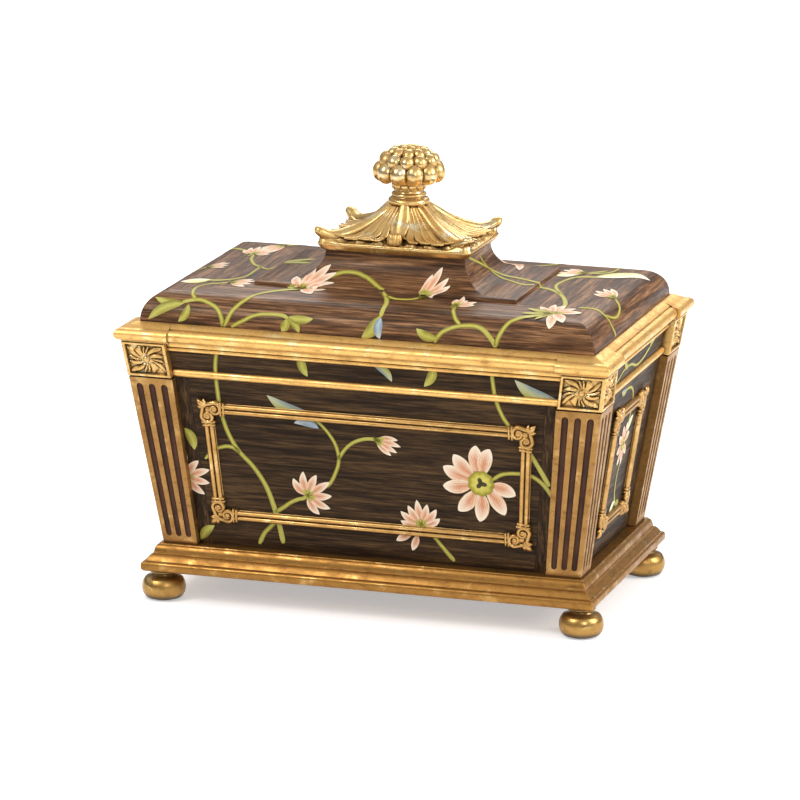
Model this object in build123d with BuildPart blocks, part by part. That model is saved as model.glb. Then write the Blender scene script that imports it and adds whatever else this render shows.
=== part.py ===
from build123d import *
from math import atan, cos, degrees, hypot, pi, sin
import os

os.makedirs("parts", exist_ok=True)

# A casket of gilt and dark wood with a hinged lid. Sizes are in millimetres.
# +X runs along the front, the front faces -Y, and the feet stand on Z = 0.
# Small carved and turned forms are made of flat facets, so that the mesh stays light.

# Plan
cornice_length = 340
cornice_depth = 222
end_overhang = 4.1            # of the lid moulding past the rosette blocks
front_overhang = 5.15
end_lean = 0.148              # outward travel of the end walls for each millimetre of height
front_lean = 0.168
plinth_projection_end = 11.8  # of the base board past the feet of the pilasters
plinth_projection_front = 13.4

# Heights
foot_height = 21
base_board_thickness = 7
plinth_height = 11            # the mouldings on the base board
pilaster_height = 117
shadow_gap = 0.8              # the fine line between a pilaster and its rosette block
block_height = 24.2
lid_gap = 0.3

# Walls of the case
panel_thickness = 9
panel_recess = 6              # from the face of a pilaster back to the face of a panel
floor_thickness = 3
floor_clearance = 0.3

# Feet: a bun under a neck and a ring
foot_radius = 14.8
foot_sole_radius = 9
foot_bun_height = 16.2
foot_neck_radius = 8.2
foot_neck_height = 17.4
foot_ring_radius = 9.6
foot_ring_edge = 0.9
foot_sides = 12
foot_steps = 4
foot_inset_end = 11.4         # from the edge of the base board to the axis of a foot
foot_inset_front = 15.1

# Plinth mouldings, with each step given as its set-back from the edge of the base board
base_edge_radius = 2.5
shoulder_set_back = 7
shoulder_height = 4.6
shoulder_swell = 0.9
step_height = 0.8
cove_height = 5
cove_set_back = 9.7
cove_radius = 8

# Pilasters and rosette blocks
pilaster_top_width = 30.5
pilaster_foot_width = 23.9
flute_count = 3
flute_pitch_share = 0.285     # of the width of the pilaster
flute_top_radius = 2.1
flute_foot_radius = 1.75
flute_lift = 0.4              # of the axis of a flute off the face
flute_top_margin = 4
flute_foot_margin = 5
flute_sides = 8
block_width = 30
rosette_frame = 2.2
rosette_recess = 1.2
rosette_petals = 10
petal_width = 4
petal_height = 0.9
petal_shoulder = 0.7          # where a petal is widest, as a share of its reach
petal_gap = 0.4               # from its tip to the frame
petal_root = 1.5
rosette_button_radius = 3
rosette_button_rise = 2
rosette_button_sides = 6

# Trim between the blocks
waist_rise = 4                # of the waist bead over the pilasters
waist_radius = 2.2
rim_fillet_height = 3
rim_fillet_proud = 2
trim_clearance = 0.1

# Applied frames on the panels: the centre line of the bars, from the pilasters
front_frame_top_margin = 20
front_frame_foot_margin = 18
end_frame_top_margin = 36
end_frame_foot_margin = 30
frame_top_drop = 19           # below the tops of the pilasters
frame_foot_rise = 22.5        # above the foot of the wall
bar_width = 7
bar_base = 1.1
reed_rise = 1.5
reed_facets = 3
scroll_radius = 4.2
scroll_offset = 5.6           # from a corner of the frame to the eye of each scroll
scroll_close = 0.6            # share of its radius that a scroll loses in its one turn
scroll_steps = 4
scroll_elbow = 0.8            # share of its radius that the joining strand stands off a corner
strand_width = 2
strand_height = 2.6
scroll_eye_radius = 1.7
scroll_eye_rise = 3
bud_length = 6
bud_width = 4

# Lid moulding
cornice_width = 27
cornice_height = 12
roll_radius = 4
roll_lift = 0.7               # flat under the roll
quirk_depth = 1.2
quirk_height = 0.9
ledge_run = 6.2
break_out = 2.5
break_out_margin = 3          # how far it starts before the rosette block

# Lid boards
ovolo_radius = 17.6
ovolo_lift = 1.5
deck_rise = 1.5               # from the ovolo up to the crown
deck_wall = 26
deck_roof = 9
crown_set_back_end = 79.3
crown_set_back_front = 56.8
crown_riser = 2.3
crown_flat = 0.3
crown_cove = 19.7
crown_run_end = 22.5          # flat step before the cove
crown_run_front = 4
lining_thickness = 3

# Finial
mount_height = 25.8
mount_neck_radius = 12
mount_hollow = 1.9            # power that hollows the roof of the mount
mount_steps = 4
lip_spread = 4.5
lip_height = 6
hip_shares = (0, 0.42, 0.8, 1, 1.06)      # stops of a hip rib, from the neck out to its tip
hip_rises = (23.5, 11.5, 7, 8.2, 12)
hip_radii = (3.2, 3, 4, 3.6, 1.8)
leaf_shares = (0.04, 0.45, 0.85, 1.05)    # stops of the leaf on each face
leaf_rises = (22, 11.5, 7, 4.5)
leaf_widths = (2.5, 6.5, 5, 1.5)
leaf_thickness = 1.5
limb_sides = 4
collar_height = 13
collar_bead_radius = 12.1
collar_bead_swell = 0.6
collar_waist_radius = 11.2
collar_waist_depth = 1
collar_bead_steps = 2
collar_waist_steps = 4
collar_sides = 12
knob_radius = 25
knob_height = 29.3
knob_core_radius = 17
berry_seat = 10               # height of the widest ring of berries
berry_counts = (10, 9, 6, 1)
berry_radii = (6.6, 5.4, 4.8, 4.6)
berry_tilts = (-6, 28, 56, 90)
berry_sides = 5
rod_radius = 3
rod_clearance = 0.2
thread_clearance = 0.05
rod_grip = 18                 # length of the rod inside the knob
washer_width = 15
washer_thickness = 1.6
nut_across_flats = 10
nut_height = 5
rod_end = 2

# Hinges
hinge_inset = 75              # from the end of the lid moulding to the middle of a hinge
hinge_length = 50
hinge_leaf = 15
hinge_leaf_thickness = 1.2
knuckle_radius = 2.4
knuckle_count = 3
knuckle_gap = 0.2
hinge_pin_radius = 1
hinge_pin_clearance = 0.05
hinge_clearance = 0.15

# Levels and reaches that follow from the sizes above
board_top = foot_height + base_board_thickness
wall_foot = board_top + plinth_height
pilaster_top = wall_foot + pilaster_height
block_foot = pilaster_top + shadow_gap
rim = block_foot + block_height
lid_foot = rim + lid_gap
lid_board_foot = lid_foot + cornice_height
plateau = lid_board_foot + ovolo_lift + ovolo_radius
crown_foot = plateau + deck_rise
crown_top = crown_foot + crown_riser + crown_flat + crown_cove
collar_foot = crown_top + mount_height
knob_foot = collar_foot + collar_height
waist_height = pilaster_top + waist_rise

sides = {"front": 0, "right": 90, "back": 180, "left": 270}
across = {"front": "right", "right": "front", "back": "right", "left": "front"}
leans = {"front": front_lean, "right": end_lean}
cornice_reach = {"front": cornice_depth / 2, "right": cornice_length / 2}
rim_reach = {
    "front": cornice_reach["front"] - front_overhang,
    "right": cornice_reach["right"] - end_overhang,
}
foot_reach = {side: rim_reach[side] - leans[side] * (rim - wall_foot) for side in leans}
plinth_reach = {
    "front": foot_reach["front"] + plinth_projection_front,
    "right": foot_reach["right"] + plinth_projection_end,
}
corners = {"front_left": (-1, -1), "front_right": (1, -1), "back_right": (1, 1), "back_left": (-1, 1)}
for opposite, side in (("back", "front"), ("left", "right")):
    for table in (foot_reach, leans, cornice_reach, plinth_reach):
        table[opposite] = table[side]


def wall(side, height, inset=0):
    """Distance from the middle of the case out to a wall at a height."""
    return foot_reach[side] + leans[side] * (height - wall_foot) - inset


def plan_plane(side, height=0):
    """Level plane with its X along the side and its -Y pointing out of the case."""
    return Plane(origin=(0, 0, height)).rotated((0, 0, sides[side]))


def outward(side):
    return -plan_plane(side).y_dir


def section_plane(side):
    """Upright plane through the middle of a side: X points out of the case, Y up."""
    out = outward(side)
    return Plane(origin=(0, 0, 0), x_dir=out, z_dir=out.cross(Vector(0, 0, 1)))


def face_plane(side, inset=0):
    """Plane of a leaning wall: X along the side, Y up the slope from the foot of the wall."""
    out = outward(side)
    origin = out * wall(side, wall_foot, inset) + Vector(0, 0, wall_foot)
    along = plan_plane(side).x_dir
    slope = out * leans[side] + Vector(0, 0, 1)
    return Plane(origin=origin, x_dir=along, z_dir=along.cross(slope))


def up_slope(side, height):
    """Distance up a leaning wall from its foot to a height."""
    return (height - wall_foot) * hypot(1, leans[side])


def taper(outline, low, high, plane=Plane.XY, mode=Mode.ADD):
    """Flat-faced solid between the convex outlines that a function gives at two heights."""
    ends = [(x, y, height) for height in (low, high) for x, y in outline(height)]
    ConvexPolyhedron([plane.from_local_coords(point) for point in ends], mode=mode)


def hull(points):
    return ConvexPolyhedron(points, mode=Mode.PRIVATE)


def ring(plane, width, height, count, rise=0):
    """Points of a level ring round the normal of a plane, by half width and half height."""
    turns = [2 * pi * index / count for index in range(count)]
    return [plane.from_local_coords((width * cos(t), height * sin(t), rise)) for t in turns]


def turning(plane, stops, count):
    """Pieces of a faceted turned form: each stop is a radius and its rise along the axis."""
    rings = [ring(plane, radius, radius, count, rise) for radius, rise in stops]
    return [hull(start + end) for start, end in zip(rings, rings[1:])]


def swelling(radius, swell, low, high, steps):
    """Stops of a turning that swells out, or in, by an arc between two levels."""
    turns = [pi * index / steps for index in range(steps + 1)]
    return [(radius + swell * sin(t), (low + high - (high - low) * cos(t)) / 2) for t in turns]


def limb(stops, up, section):
    """Pieces of a faceted limb through stops, each with a centre, a half width and a height."""
    centres = [centre for centre, _, _ in stops]
    ends = []
    for index, (centre, width, height) in enumerate(stops):
        forward = centres[min(index + 1, len(stops) - 1)] - centres[max(index - 1, 0)]
        plane = Plane(origin=centre, x_dir=up.cross(forward), z_dir=forward)
        ends.append([plane.from_local_coords((x * width, y * height, 0)) for x, y in section])
    return [hull(start + end) for start, end in zip(ends, ends[1:])]


def case_outline(inset):
    def outline(height):
        x = wall("right", height, inset)
        y = wall("front", height, inset)
        return [(-x, -y), (x, -y), (x, y), (-x, y)]

    return outline


def mitre(side, reach):
    """Keep only what lies between the two mitre planes at the ends of a side."""
    half_run = reach[across[side]]
    out = reach[side]
    spare = panel_thickness
    tip = max(half_run - out, 0)
    depth = min(out, half_run)
    wedge = [
        (-half_run - spare, -out - spare),
        (half_run + spare, -out - spare),
        (tip, depth - out),
    ]
    if tip:
        wedge.append((-tip, depth - out))
    with BuildSketch(plan_plane(side)) as keep:
        Polygon(*wedge, align=None)
    extrude(keep.sketch, amount=crown_top, mode=Mode.INTERSECT)


def save(part, name):
    part.label = name
    export_step(part, f"parts/{name}.step")


# Base board with a rounded edge
with BuildPart() as base_board:
    with BuildSketch(Plane.XY.offset(foot_height)):
        Rectangle(2 * plinth_reach["right"], 2 * plinth_reach["front"])
    extrude(amount=base_board_thickness)
    fillet(base_board.faces().filter_by(Axis.Z).edges(), base_edge_radius)
save(base_board.part, "base_board")

# Turned bun feet
foot_swell = foot_radius - foot_sole_radius
foot_profile = swelling(foot_sole_radius, foot_swell, 0, foot_bun_height, foot_steps) + [
    (foot_neck_radius, foot_neck_height),
    (foot_ring_radius, foot_neck_height + foot_ring_edge),
    (foot_ring_radius, foot_height - foot_ring_edge),
    (foot_ring_radius - foot_ring_edge, foot_height),
]
with BuildPart() as bun_feet:
    for sx, sy in corners.values():
        x = sx * (plinth_reach["right"] - foot_inset_end)
        y = sy * (plinth_reach["front"] - foot_inset_front)
        add(turning(Plane(origin=(x, y, 0)), foot_profile, foot_sides))
save(bun_feet.part, "bun_feet")


def plinth_moulding(side):
    """Shoulder, fillet and cove along one side, fitted round the foot of the case."""
    edge = plinth_reach[side]
    inner = wall(side, board_top, 2 * panel_recess)
    shoulder_top = board_top + shoulder_height
    cove_foot = shoulder_top + step_height
    with BuildPart() as moulding:
        with BuildSketch(section_plane(side)):
            with BuildLine():
                bed = Line((inner, board_top), (edge - base_edge_radius, board_top))
                shoulder = SagittaArc(bed @ 1, (edge - shoulder_set_back, shoulder_top), shoulder_swell)
                riser = Line(shoulder @ 1, (edge - shoulder_set_back, cove_foot))
                cove = RadiusArc(riser @ 1, (edge - cove_set_back, cove_foot + cove_height), cove_radius)
                lip = Line(cove @ 1, (edge - cove_set_back, wall_foot))
                top = Line(lip @ 1, (inner, wall_foot))
                Line(top @ 1, bed @ 0)
            make_face()
        extrude(amount=plinth_reach[across[side]], both=True)
        mitre(side, plinth_reach)
        taper(case_outline(panel_recess), board_top, wall_foot, mode=Mode.SUBTRACT)
    return moulding.part


for side in sides:
    save(plinth_moulding(side), f"plinth_moulding_{side}")


def case_panel(side):
    """One wall of the case, mitred to its neighbours, with mortises for hinge leaves at the back."""
    inner = panel_recess + panel_thickness

    def outline(height):
        outer_run = wall(across[side], height, panel_recess)
        inner_run = wall(across[side], height, inner)
        outer = -wall(side, height, panel_recess)
        inside = -wall(side, height, inner)
        return [(-outer_run, outer), (outer_run, outer), (inner_run, inside), (-inner_run, inside)]

    with BuildPart() as panel:
        taper(outline, board_top, rim, plan_plane(side))
        if side == "back":
            leaf_pockets(rim - hinge_leaf_thickness, rim)
    return panel.part


# Hinges: the axis lies behind the corner blocks, so that the lid clears them as it opens
hinge_y = wall("back", rim) + knuckle_radius + hinge_clearance
hinge_z = rim + lid_gap / 2
hinge_xs = (hinge_inset - cornice_reach["right"], cornice_reach["right"] - hinge_inset)
knuckle_pitch = hinge_length / knuckle_count
leaf_edge = hinge_y - hinge_leaf


def leaf_pockets(low, high):
    """Mortises between two levels, from the free edge of each leaf out past the knuckles."""
    width = hinge_y + knuckle_radius - leaf_edge
    with Locations(*[(x, leaf_edge + width / 2, (low + high) / 2) for x in hinge_xs]):
        Box(hinge_length, width, high - low, mode=Mode.SUBTRACT)


for side in sides:
    save(case_panel(side), f"{side}_panel")

# Rail across the back of the frieze, flush with the corner blocks, under the hinges
rail_foot = waist_height + waist_radius + hinge_leaf_thickness
rail_half = wall("right", rail_foot, block_width + trim_clearance)


def rail_outline(height):
    face, bed = wall("back", height), wall("back", height, panel_recess)
    return [(-rail_half, bed), (rail_half, bed), (rail_half, face), (-rail_half, face)]


with BuildPart() as hinge_rail:
    taper(rail_outline, rail_foot, rim)
    leaf_pockets(rim - hinge_leaf_thickness, rim)
save(hinge_rail.part, "hinge_rail")


def corner_legs(corner):
    """The two sides that a corner piece shows on, each with its hand along that side."""
    sx, sy = corners[corner]
    long_side = "front" if sy < 0 else "back"
    short_side = "right" if sx > 0 else "left"
    return [
        (long_side, sx if long_side == "front" else -sx),
        (short_side, sy if short_side == "right" else -sy),
    ]


def corner_piece(corner, width, low, high):
    """L-shaped piece wrapped round a corner of the case, with legs of a given width."""
    for side, hand in corner_legs(corner):

        def outline(height):
            end, face = wall(across[side], height), -wall(side, height)
            run = end - width(height)
            bed = face + panel_recess
            return [(hand * x, y) for x, y in ((run, face), (end, face), (end, bed), (run, bed))]

        taper(outline, low, high, plan_plane(side))


def pilaster_width(height):
    share = (height - wall_foot) / pilaster_height
    return pilaster_foot_width + share * (pilaster_top_width - pilaster_foot_width)


def leg_centre(side, hand, height, width):
    """Where the middle of a leg lies along a side: hand is 1 towards +X of its plane."""
    return hand * (wall(across[side], height) - width / 2)


def flute_cutter(side, hand, place):
    """Flute with tapered ends: place is its share of the pilaster's width, off the middle."""
    face = face_plane(side)
    ends = []
    for height, radius in (
        (wall_foot + flute_foot_margin + flute_foot_radius, flute_foot_radius),
        (pilaster_top - flute_top_margin - flute_top_radius, flute_top_radius),
    ):
        width = pilaster_width(height)
        run = leg_centre(side, hand, height, width) + place * width
        ends.append((face.from_local_coords((run, up_slope(side, height), flute_lift)), radius))
    (foot, foot_size), (top, top_size) = ends
    points = []
    for centre, radius, away in ((foot, foot_size, foot - top), (top, top_size, top - foot)):
        plane = Plane(origin=centre, x_dir=face.z_dir, z_dir=away)
        points += ring(plane, radius, radius, flute_sides)
        points.append(plane.from_local_coords((0, 0, radius)))
    return hull(points)


def pilaster(corner):
    """Corner pilaster that narrows downward, with flutes on both outer faces."""
    with BuildPart() as part:
        corner_piece(corner, pilaster_width, wall_foot, pilaster_top)
        places = [(flute - (flute_count - 1) / 2) * flute_pitch_share for flute in range(flute_count)]
        cutters = [flute_cutter(*leg, place) for leg in corner_legs(corner) for place in places]
        add(cutters, mode=Mode.SUBTRACT)
    return part.part


for corner in corners:
    save(pilaster(corner), f"pilaster_{corner}")


def turned(x, y, z, turn):
    return x * cos(turn) - y * sin(turn), x * sin(turn) + y * cos(turn), z


def rosette(side, centre, wide, tall):
    """Pieces of a sunburst: ridged petals that reach the frame, round a faceted button."""
    floor = face_plane(side).offset(-rosette_recess)
    floor = Plane(origin=floor.from_local_coords(centre), x_dir=floor.x_dir, z_dir=floor.z_dir)
    petals = []
    for petal in range(rosette_petals):
        turn = 2 * pi * (petal + 0.5) / rosette_petals
        reach = min(wide / 2 / abs(cos(turn)), tall / 2 / abs(sin(turn))) - petal_gap
        shoulder = petal_shoulder * reach
        half = petal_width / 2
        kite = [(petal_root, 0, 0), (shoulder, -half, 0), (reach, 0, 0), (shoulder, half, 0)]
        ridge = [(petal_root, 0, petal_height), (shoulder, 0, petal_height)]
        petals.append(hull([floor.from_local_coords(turned(*point, turn)) for point in kite + ridge]))
    button = [
        (rosette_button_radius, 0),
        (rosette_button_radius, rosette_button_rise / 2),
        (rosette_button_radius / 2, rosette_button_rise),
    ]
    return petals + turning(floor, button, rosette_button_sides)


def rosette_block(corner):
    """Corner block with a framed rosette sunk into each outer face."""
    middle = (block_foot + rim) / 2
    tall = block_height - 2 * rosette_frame
    wide = block_width - 2 * rosette_frame
    with BuildPart() as block:
        corner_piece(corner, lambda height: block_width, block_foot, rim)
        for side, hand in corner_legs(corner):
            centre = (leg_centre(side, hand, middle, block_width), up_slope(side, middle))
            with BuildSketch(face_plane(side)):
                with Locations(centre):
                    Rectangle(wide, tall)
            extrude(amount=-rosette_recess, mode=Mode.SUBTRACT)
            add(rosette(side, centre, wide, tall))
    return block.part


for corner in corners:
    save(rosette_block(corner), f"rosette_block_{corner}")


def trim_run(side, height):
    """Half the clear length between the corner blocks at a height."""
    return wall(across[side], height, block_width + trim_clearance)


def waist_bead(side):
    slope = degrees(atan(leans[side]))
    with BuildPart() as bead:
        with BuildSketch(section_plane(side)):
            with BuildLine():
                centre = (wall(side, waist_height, panel_recess), waist_height)
                round_face = CenterArc(centre, waist_radius, -90 - slope, 180)
                Line(round_face @ 1, round_face @ 0)
            make_face()
        extrude(amount=trim_run(side, waist_height - waist_radius), both=True)
    return bead.part


def rim_fillet(side):
    low = rim - rim_fillet_height
    with BuildPart() as strip:
        with BuildSketch(section_plane(side)):
            Polygon(
                (wall(side, low, panel_recess), low),
                (wall(side, low, panel_recess - rim_fillet_proud), low),
                (wall(side, rim, panel_recess - rim_fillet_proud), rim),
                (wall(side, rim, panel_recess), rim),
                align=None,
            )
        extrude(amount=trim_run(side, low), both=True)
    return strip.part


for side in sides:
    save(waist_bead(side), f"waist_bead_{side}")
    if side != "back":
        save(rim_fillet(side), f"rim_fillet_{side}")


def frame_corners(side):
    """Corners of the frame's centre line on a panel, anticlockwise from the lower left."""
    long = side in ("front", "back")
    levels = (
        (wall_foot + frame_foot_rise, front_frame_foot_margin if long else end_frame_foot_margin),
        (pilaster_top - frame_top_drop, front_frame_top_margin if long else end_frame_top_margin),
    )
    (foot, low), (top, high) = [
        (wall(across[side], height, pilaster_width(height) + margin), up_slope(side, height))
        for height, margin in levels
    ]
    return [Vector(-foot, low), Vector(foot, low), Vector(top, high), Vector(-top, high)]


def frame_bars(side):
    """Four double-reed bars that run from scroll to scroll."""
    panel_face = face_plane(side, panel_recess)
    spots = frame_corners(side)
    end_gap = scroll_offset + scroll_radius + strand_width / 2 + trim_clearance
    half = bar_width / 2
    section = [(0, half), (0, -half)]
    for reed in (-1, 1):
        for step in range(reed_facets + 1):
            turn = pi * step / reed_facets
            section.append((bar_base + reed_rise * sin(turn), (reed - cos(turn)) * half / 2))
    with BuildPart() as bars:
        for start, end in zip(spots, spots[1:] + spots[:1]):
            along = (end - start).normalized()
            origin = panel_face.from_local_coords(start + along * end_gap)
            direction = panel_face.from_local_coords(end) - panel_face.from_local_coords(start)
            with BuildSketch(Plane(origin=origin, x_dir=panel_face.z_dir, z_dir=direction)):
                Polygon(*dict.fromkeys(section), align=None)
            extrude(amount=(end - start).length - 2 * end_gap)
    return bars.part


strand_section = ((1, 0), (0, 1), (-1, 0))


def frame_scrolls(side):
    """At each corner a ridged strand that curls into two volutes, with eyes and a bud outside."""
    panel_face = face_plane(side, panel_recess)
    spots = frame_corners(side)

    def stop(point, width, height):
        return panel_face.from_local_coords(point), width / 2, height

    with BuildPart() as scrolls:
        for index, spot in enumerate(spots):
            to_next = (spots[(index + 1) % 4] - spot).normalized()
            to_last = (spots[index - 1] - spot).normalized()
            volutes = []
            pieces = []
            for ahead, aside in ((to_next, to_last), (to_last, to_next)):
                eye = spot + ahead * scroll_offset
                stops = []
                for step in range(scroll_steps + 1):
                    share = step / scroll_steps
                    turn = 2 * pi * share
                    reach = scroll_radius * (1 - scroll_close * share)
                    point = eye + (ahead * sin(turn) - aside * cos(turn)) * reach
                    stops.append(stop(point, strand_width * (1 - share / 2), strand_height))
                volutes.append(stops)
                eye_plane = Plane(origin=panel_face.from_local_coords(eye), z_dir=panel_face.z_dir)
                eye_stops = [(scroll_eye_radius, 0), (scroll_eye_radius / 2, scroll_eye_rise)]
                pieces += turning(eye_plane, eye_stops, limb_sides)
            away = -(to_next + to_last).normalized()
            elbow = spot + away * scroll_radius * scroll_elbow
            first, second = volutes
            middle = [stop(elbow, strand_width, strand_height)]
            pieces += limb(first[::-1] + middle + second, panel_face.z_dir, strand_section)
            bud = [
                stop(elbow, strand_width, strand_height),
                stop(elbow + away * bud_length / 2, bud_width, scroll_eye_rise),
                stop(elbow + away * bud_length, strand_width / 2, bar_base),
            ]
            add(pieces + limb(bud, panel_face.z_dir, strand_section))
    return scrolls.part


for side in sides:
    save(frame_bars(side), f"frame_bars_{side}")
    save(frame_scrolls(side), f"frame_scrolls_{side}")

# Covered floor panel
with BuildPart() as floor_panel:
    floor_outline = case_outline(panel_recess + panel_thickness + floor_clearance)
    taper(floor_outline, board_top, board_top + floor_thickness)
save(floor_panel.part, "floor_panel")


def cornice_section(edge):
    """Soffit, roll, quirk and sloping ledge of the lid moulding, out to an edge."""
    roll_centre = lid_foot + roll_lift + roll_radius
    with BuildLine() as outline:
        soffit = Line((edge - cornice_width, lid_foot), (edge - roll_radius, lid_foot))
        Line(soffit @ 1, (edge - roll_radius, lid_foot + roll_lift))
        roll = CenterArc((edge - roll_radius, roll_centre), roll_radius, -90, 180)
        quirk = Line(roll @ 1, (edge - roll_radius - quirk_depth, roll_centre + roll_radius))
        riser = Line(quirk @ 1, quirk @ 1 + Vector(0, quirk_height))
        ledge = Line(riser @ 1, ((riser @ 1).X - ledge_run, lid_board_foot))
        top = Line(ledge @ 1, (edge - cornice_width, lid_board_foot))
        Line(top @ 1, soffit @ 0)
    make_face(outline.edges())


def cut_lid_hinges():
    """Mortises for the leaves, and a notch through the roll round each row of knuckles."""
    leaf_pockets(lid_foot, lid_foot + hinge_leaf_thickness)
    notch = 2 * (knuckle_radius + 2 * hinge_clearance)
    with Locations(*[(x, hinge_y, hinge_z) for x in hinge_xs]):
        Box(hinge_length + 2 * hinge_clearance, notch, notch, mode=Mode.SUBTRACT)


def cornice(side):
    """One mitred length of the lid moulding, which breaks forward over the corner blocks."""
    half_run = cornice_reach[across[side]]
    edge = cornice_reach[side] - break_out
    start = wall(across[side], rim, block_width + break_out_margin)
    with BuildPart() as part:
        with BuildSketch(section_plane(side)):
            cornice_section(edge)
        extrude(amount=half_run, both=True)
        for hand in (-1, 1):
            with BuildSketch(section_plane(side).offset(hand * start)):
                cornice_section(edge + break_out)
            extrude(amount=hand * (half_run - start))
        mitre(side, cornice_reach)
        with BuildSketch(Plane.XY.offset(lid_foot)):
            Rectangle(
                2 * (cornice_reach["right"] - break_out - cornice_width),
                2 * (cornice_reach["front"] - break_out - cornice_width),
            )
        extrude(amount=cornice_height, mode=Mode.SUBTRACT)
        if side == "back":
            cut_lid_hinges()
    return part.part


for side in sides:
    save(cornice(side), f"cornice_{side}")

# Lid boards: each is the overlap of its end view and its front view, so its hips are mitred
ledge_set_back = roll_radius + quirk_depth + ledge_run + break_out
deck_reach = {side: cornice_reach[side] - ledge_set_back for side in ("front", "right")}
crown_reach = {
    "front": cornice_reach["front"] - crown_set_back_front,
    "right": cornice_reach["right"] - crown_set_back_end,
}
crown_runs = {"front": crown_run_front, "right": crown_run_end}
mount_reach = {side: crown_reach[side] - crown_runs[side] - crown_cove for side in crown_reach}


def deck_section(side):
    edge = deck_reach[side]
    shoulder = edge - ovolo_radius
    with BuildLine() as outline:
        lift = Line((edge, lid_board_foot), (edge, lid_board_foot + ovolo_lift))
        ovolo = CenterArc((shoulder, lid_board_foot + ovolo_lift), ovolo_radius, 0, 90)
        slope = Line(ovolo @ 1, (crown_reach[side], crown_foot))
        flat = Line(slope @ 1, (0, crown_foot))
        middle = Line(flat @ 1, (0, lid_board_foot))
        Line(middle @ 1, lift @ 0)
    make_face(outline.edges())
    mirror(about=Plane.YZ)


def crown_section(side):
    edge = crown_reach[side]
    cove_foot = crown_foot + crown_riser + crown_flat
    cove_centre = edge - crown_runs[side]
    with BuildLine() as outline:
        riser = Line((edge, crown_foot), (edge, crown_foot + crown_riser))
        run = Line(riser @ 1, (cove_centre, cove_foot))
        cove = RadiusArc(run @ 1, (mount_reach[side], crown_top), crown_cove)
        top = Line(cove @ 1, (0, crown_top))
        middle = Line(top @ 1, (0, crown_foot))
        Line(middle @ 1, riser @ 0)
    make_face(outline.edges())
    mirror(about=Plane.YZ)


def crossed(section):
    """Solid under both the end view and the front view that a section function draws."""
    with BuildSketch(section_plane("right")) as front_view:
        section("right")
    extrude(front_view.sketch, amount=cornice_depth / 2, both=True)
    with BuildSketch(section_plane("front")) as end_view:
        section("front")
    extrude(end_view.sketch, amount=cornice_length / 2, both=True, mode=Mode.INTERSECT)


with BuildPart() as lid_deck:
    crossed(deck_section)
    with BuildSketch(Plane.XY.offset(lid_board_foot)):
        Rectangle(2 * (deck_reach["right"] - deck_wall), 2 * (deck_reach["front"] - deck_wall))
    extrude(amount=crown_foot - deck_roof - lid_board_foot, mode=Mode.SUBTRACT)
    with Locations((0, 0, crown_foot)):
        Hole(rod_radius + rod_clearance)
save(lid_deck.part, "lid_deck")

with BuildPart() as lid_crown:
    crossed(crown_section)
    with Locations((0, 0, crown_top)):
        Hole(rod_radius + rod_clearance)
save(lid_crown.part, "lid_crown")

# Covered panel that closes the underside of the lid boards, inside the moulding
with BuildPart() as lid_lining:
    with BuildSketch(Plane.XY.offset(lid_board_foot)):
        Rectangle(
            2 * (cornice_reach["right"] - break_out - cornice_width - floor_clearance),
            2 * (cornice_reach["front"] - break_out - cornice_width - floor_clearance),
        )
    extrude(amount=-lining_thickness)
save(lid_lining.part, "lid_lining")

# Finial mount: a concave roof on a flared lip, with a rib on each hip that curls up at
# the corner, and a leaf down the middle of each face
limb_turns = [2 * pi * index / limb_sides for index in range(limb_sides)]
limb_section = [(cos(turn), sin(turn)) for turn in limb_turns]


def mount_limb(neck, lip, shares, rises, widths, heights):
    """Limb down the mount from its neck to its lip, through shares of that run."""
    stops = []
    for share, rise, width, height in zip(shares, rises, widths, heights):
        spot = neck + (lip - neck) * share
        stops.append((spot + Vector(0, 0, crown_top + rise), width, height))
    return limb(stops, Vector(0, 0, 1), limb_section)


def mount_level(x, y, rise):
    z = crown_top + rise
    return [(-x, -y, z), (x, -y, z), (x, y, z), (-x, y, z)]


lip_x = mount_reach["right"] + lip_spread
lip_y = mount_reach["front"] + lip_spread
mount_levels = [mount_level(mount_reach["right"], mount_reach["front"], 0)]
for step in range(mount_steps + 1):
    share = step / mount_steps
    x = lip_x + share * (mount_neck_radius - lip_x)
    y = lip_y + share * (mount_neck_radius - lip_y)
    mount_levels.append(mount_level(x, y, lip_height + (mount_height - lip_height) * share**mount_hollow))

with BuildPart() as finial_mount:
    add([hull(low + high) for low, high in zip(mount_levels, mount_levels[1:])])
    neck_side = mount_neck_radius * cos(pi / 4)
    for sx, sy in corners.values():
        neck = Vector(sx * neck_side, sy * neck_side)
        tip = Vector(sx * lip_x, sy * lip_y)
        add(mount_limb(neck, tip, hip_shares, hip_rises, hip_radii, hip_radii))
    for side in sides:
        out = outward(side)
        lip = out * (lip_x if side in ("right", "left") else lip_y)
        thicknesses = [leaf_thickness] * len(leaf_shares)
        neck = out * mount_neck_radius
        add(mount_limb(neck, lip, leaf_shares, leaf_rises, leaf_widths, thicknesses))
    with Locations((0, 0, collar_foot)):
        Hole(rod_radius + rod_clearance)
save(finial_mount.part, "finial_mount")

# Ringed collar: two beads over a hollow waist
bead = collar_height / 4
upper_bead_radius = collar_bead_radius - collar_bead_swell
collar_profile = (
    swelling(collar_bead_radius, collar_bead_swell, 0, bead, collar_bead_steps)
    + swelling(upper_bead_radius, collar_bead_swell, bead, 2 * bead, collar_bead_steps)[1:]
    + swelling(collar_waist_radius, -collar_waist_depth, 2 * bead, collar_height, collar_waist_steps)[1:]
)
with BuildPart() as finial_collar:
    add(turning(Plane.XY.offset(collar_foot), collar_profile, collar_sides))
    with Locations((0, 0, knob_foot)):
        Hole(rod_radius + rod_clearance)
save(finial_collar.part, "finial_collar")

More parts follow.
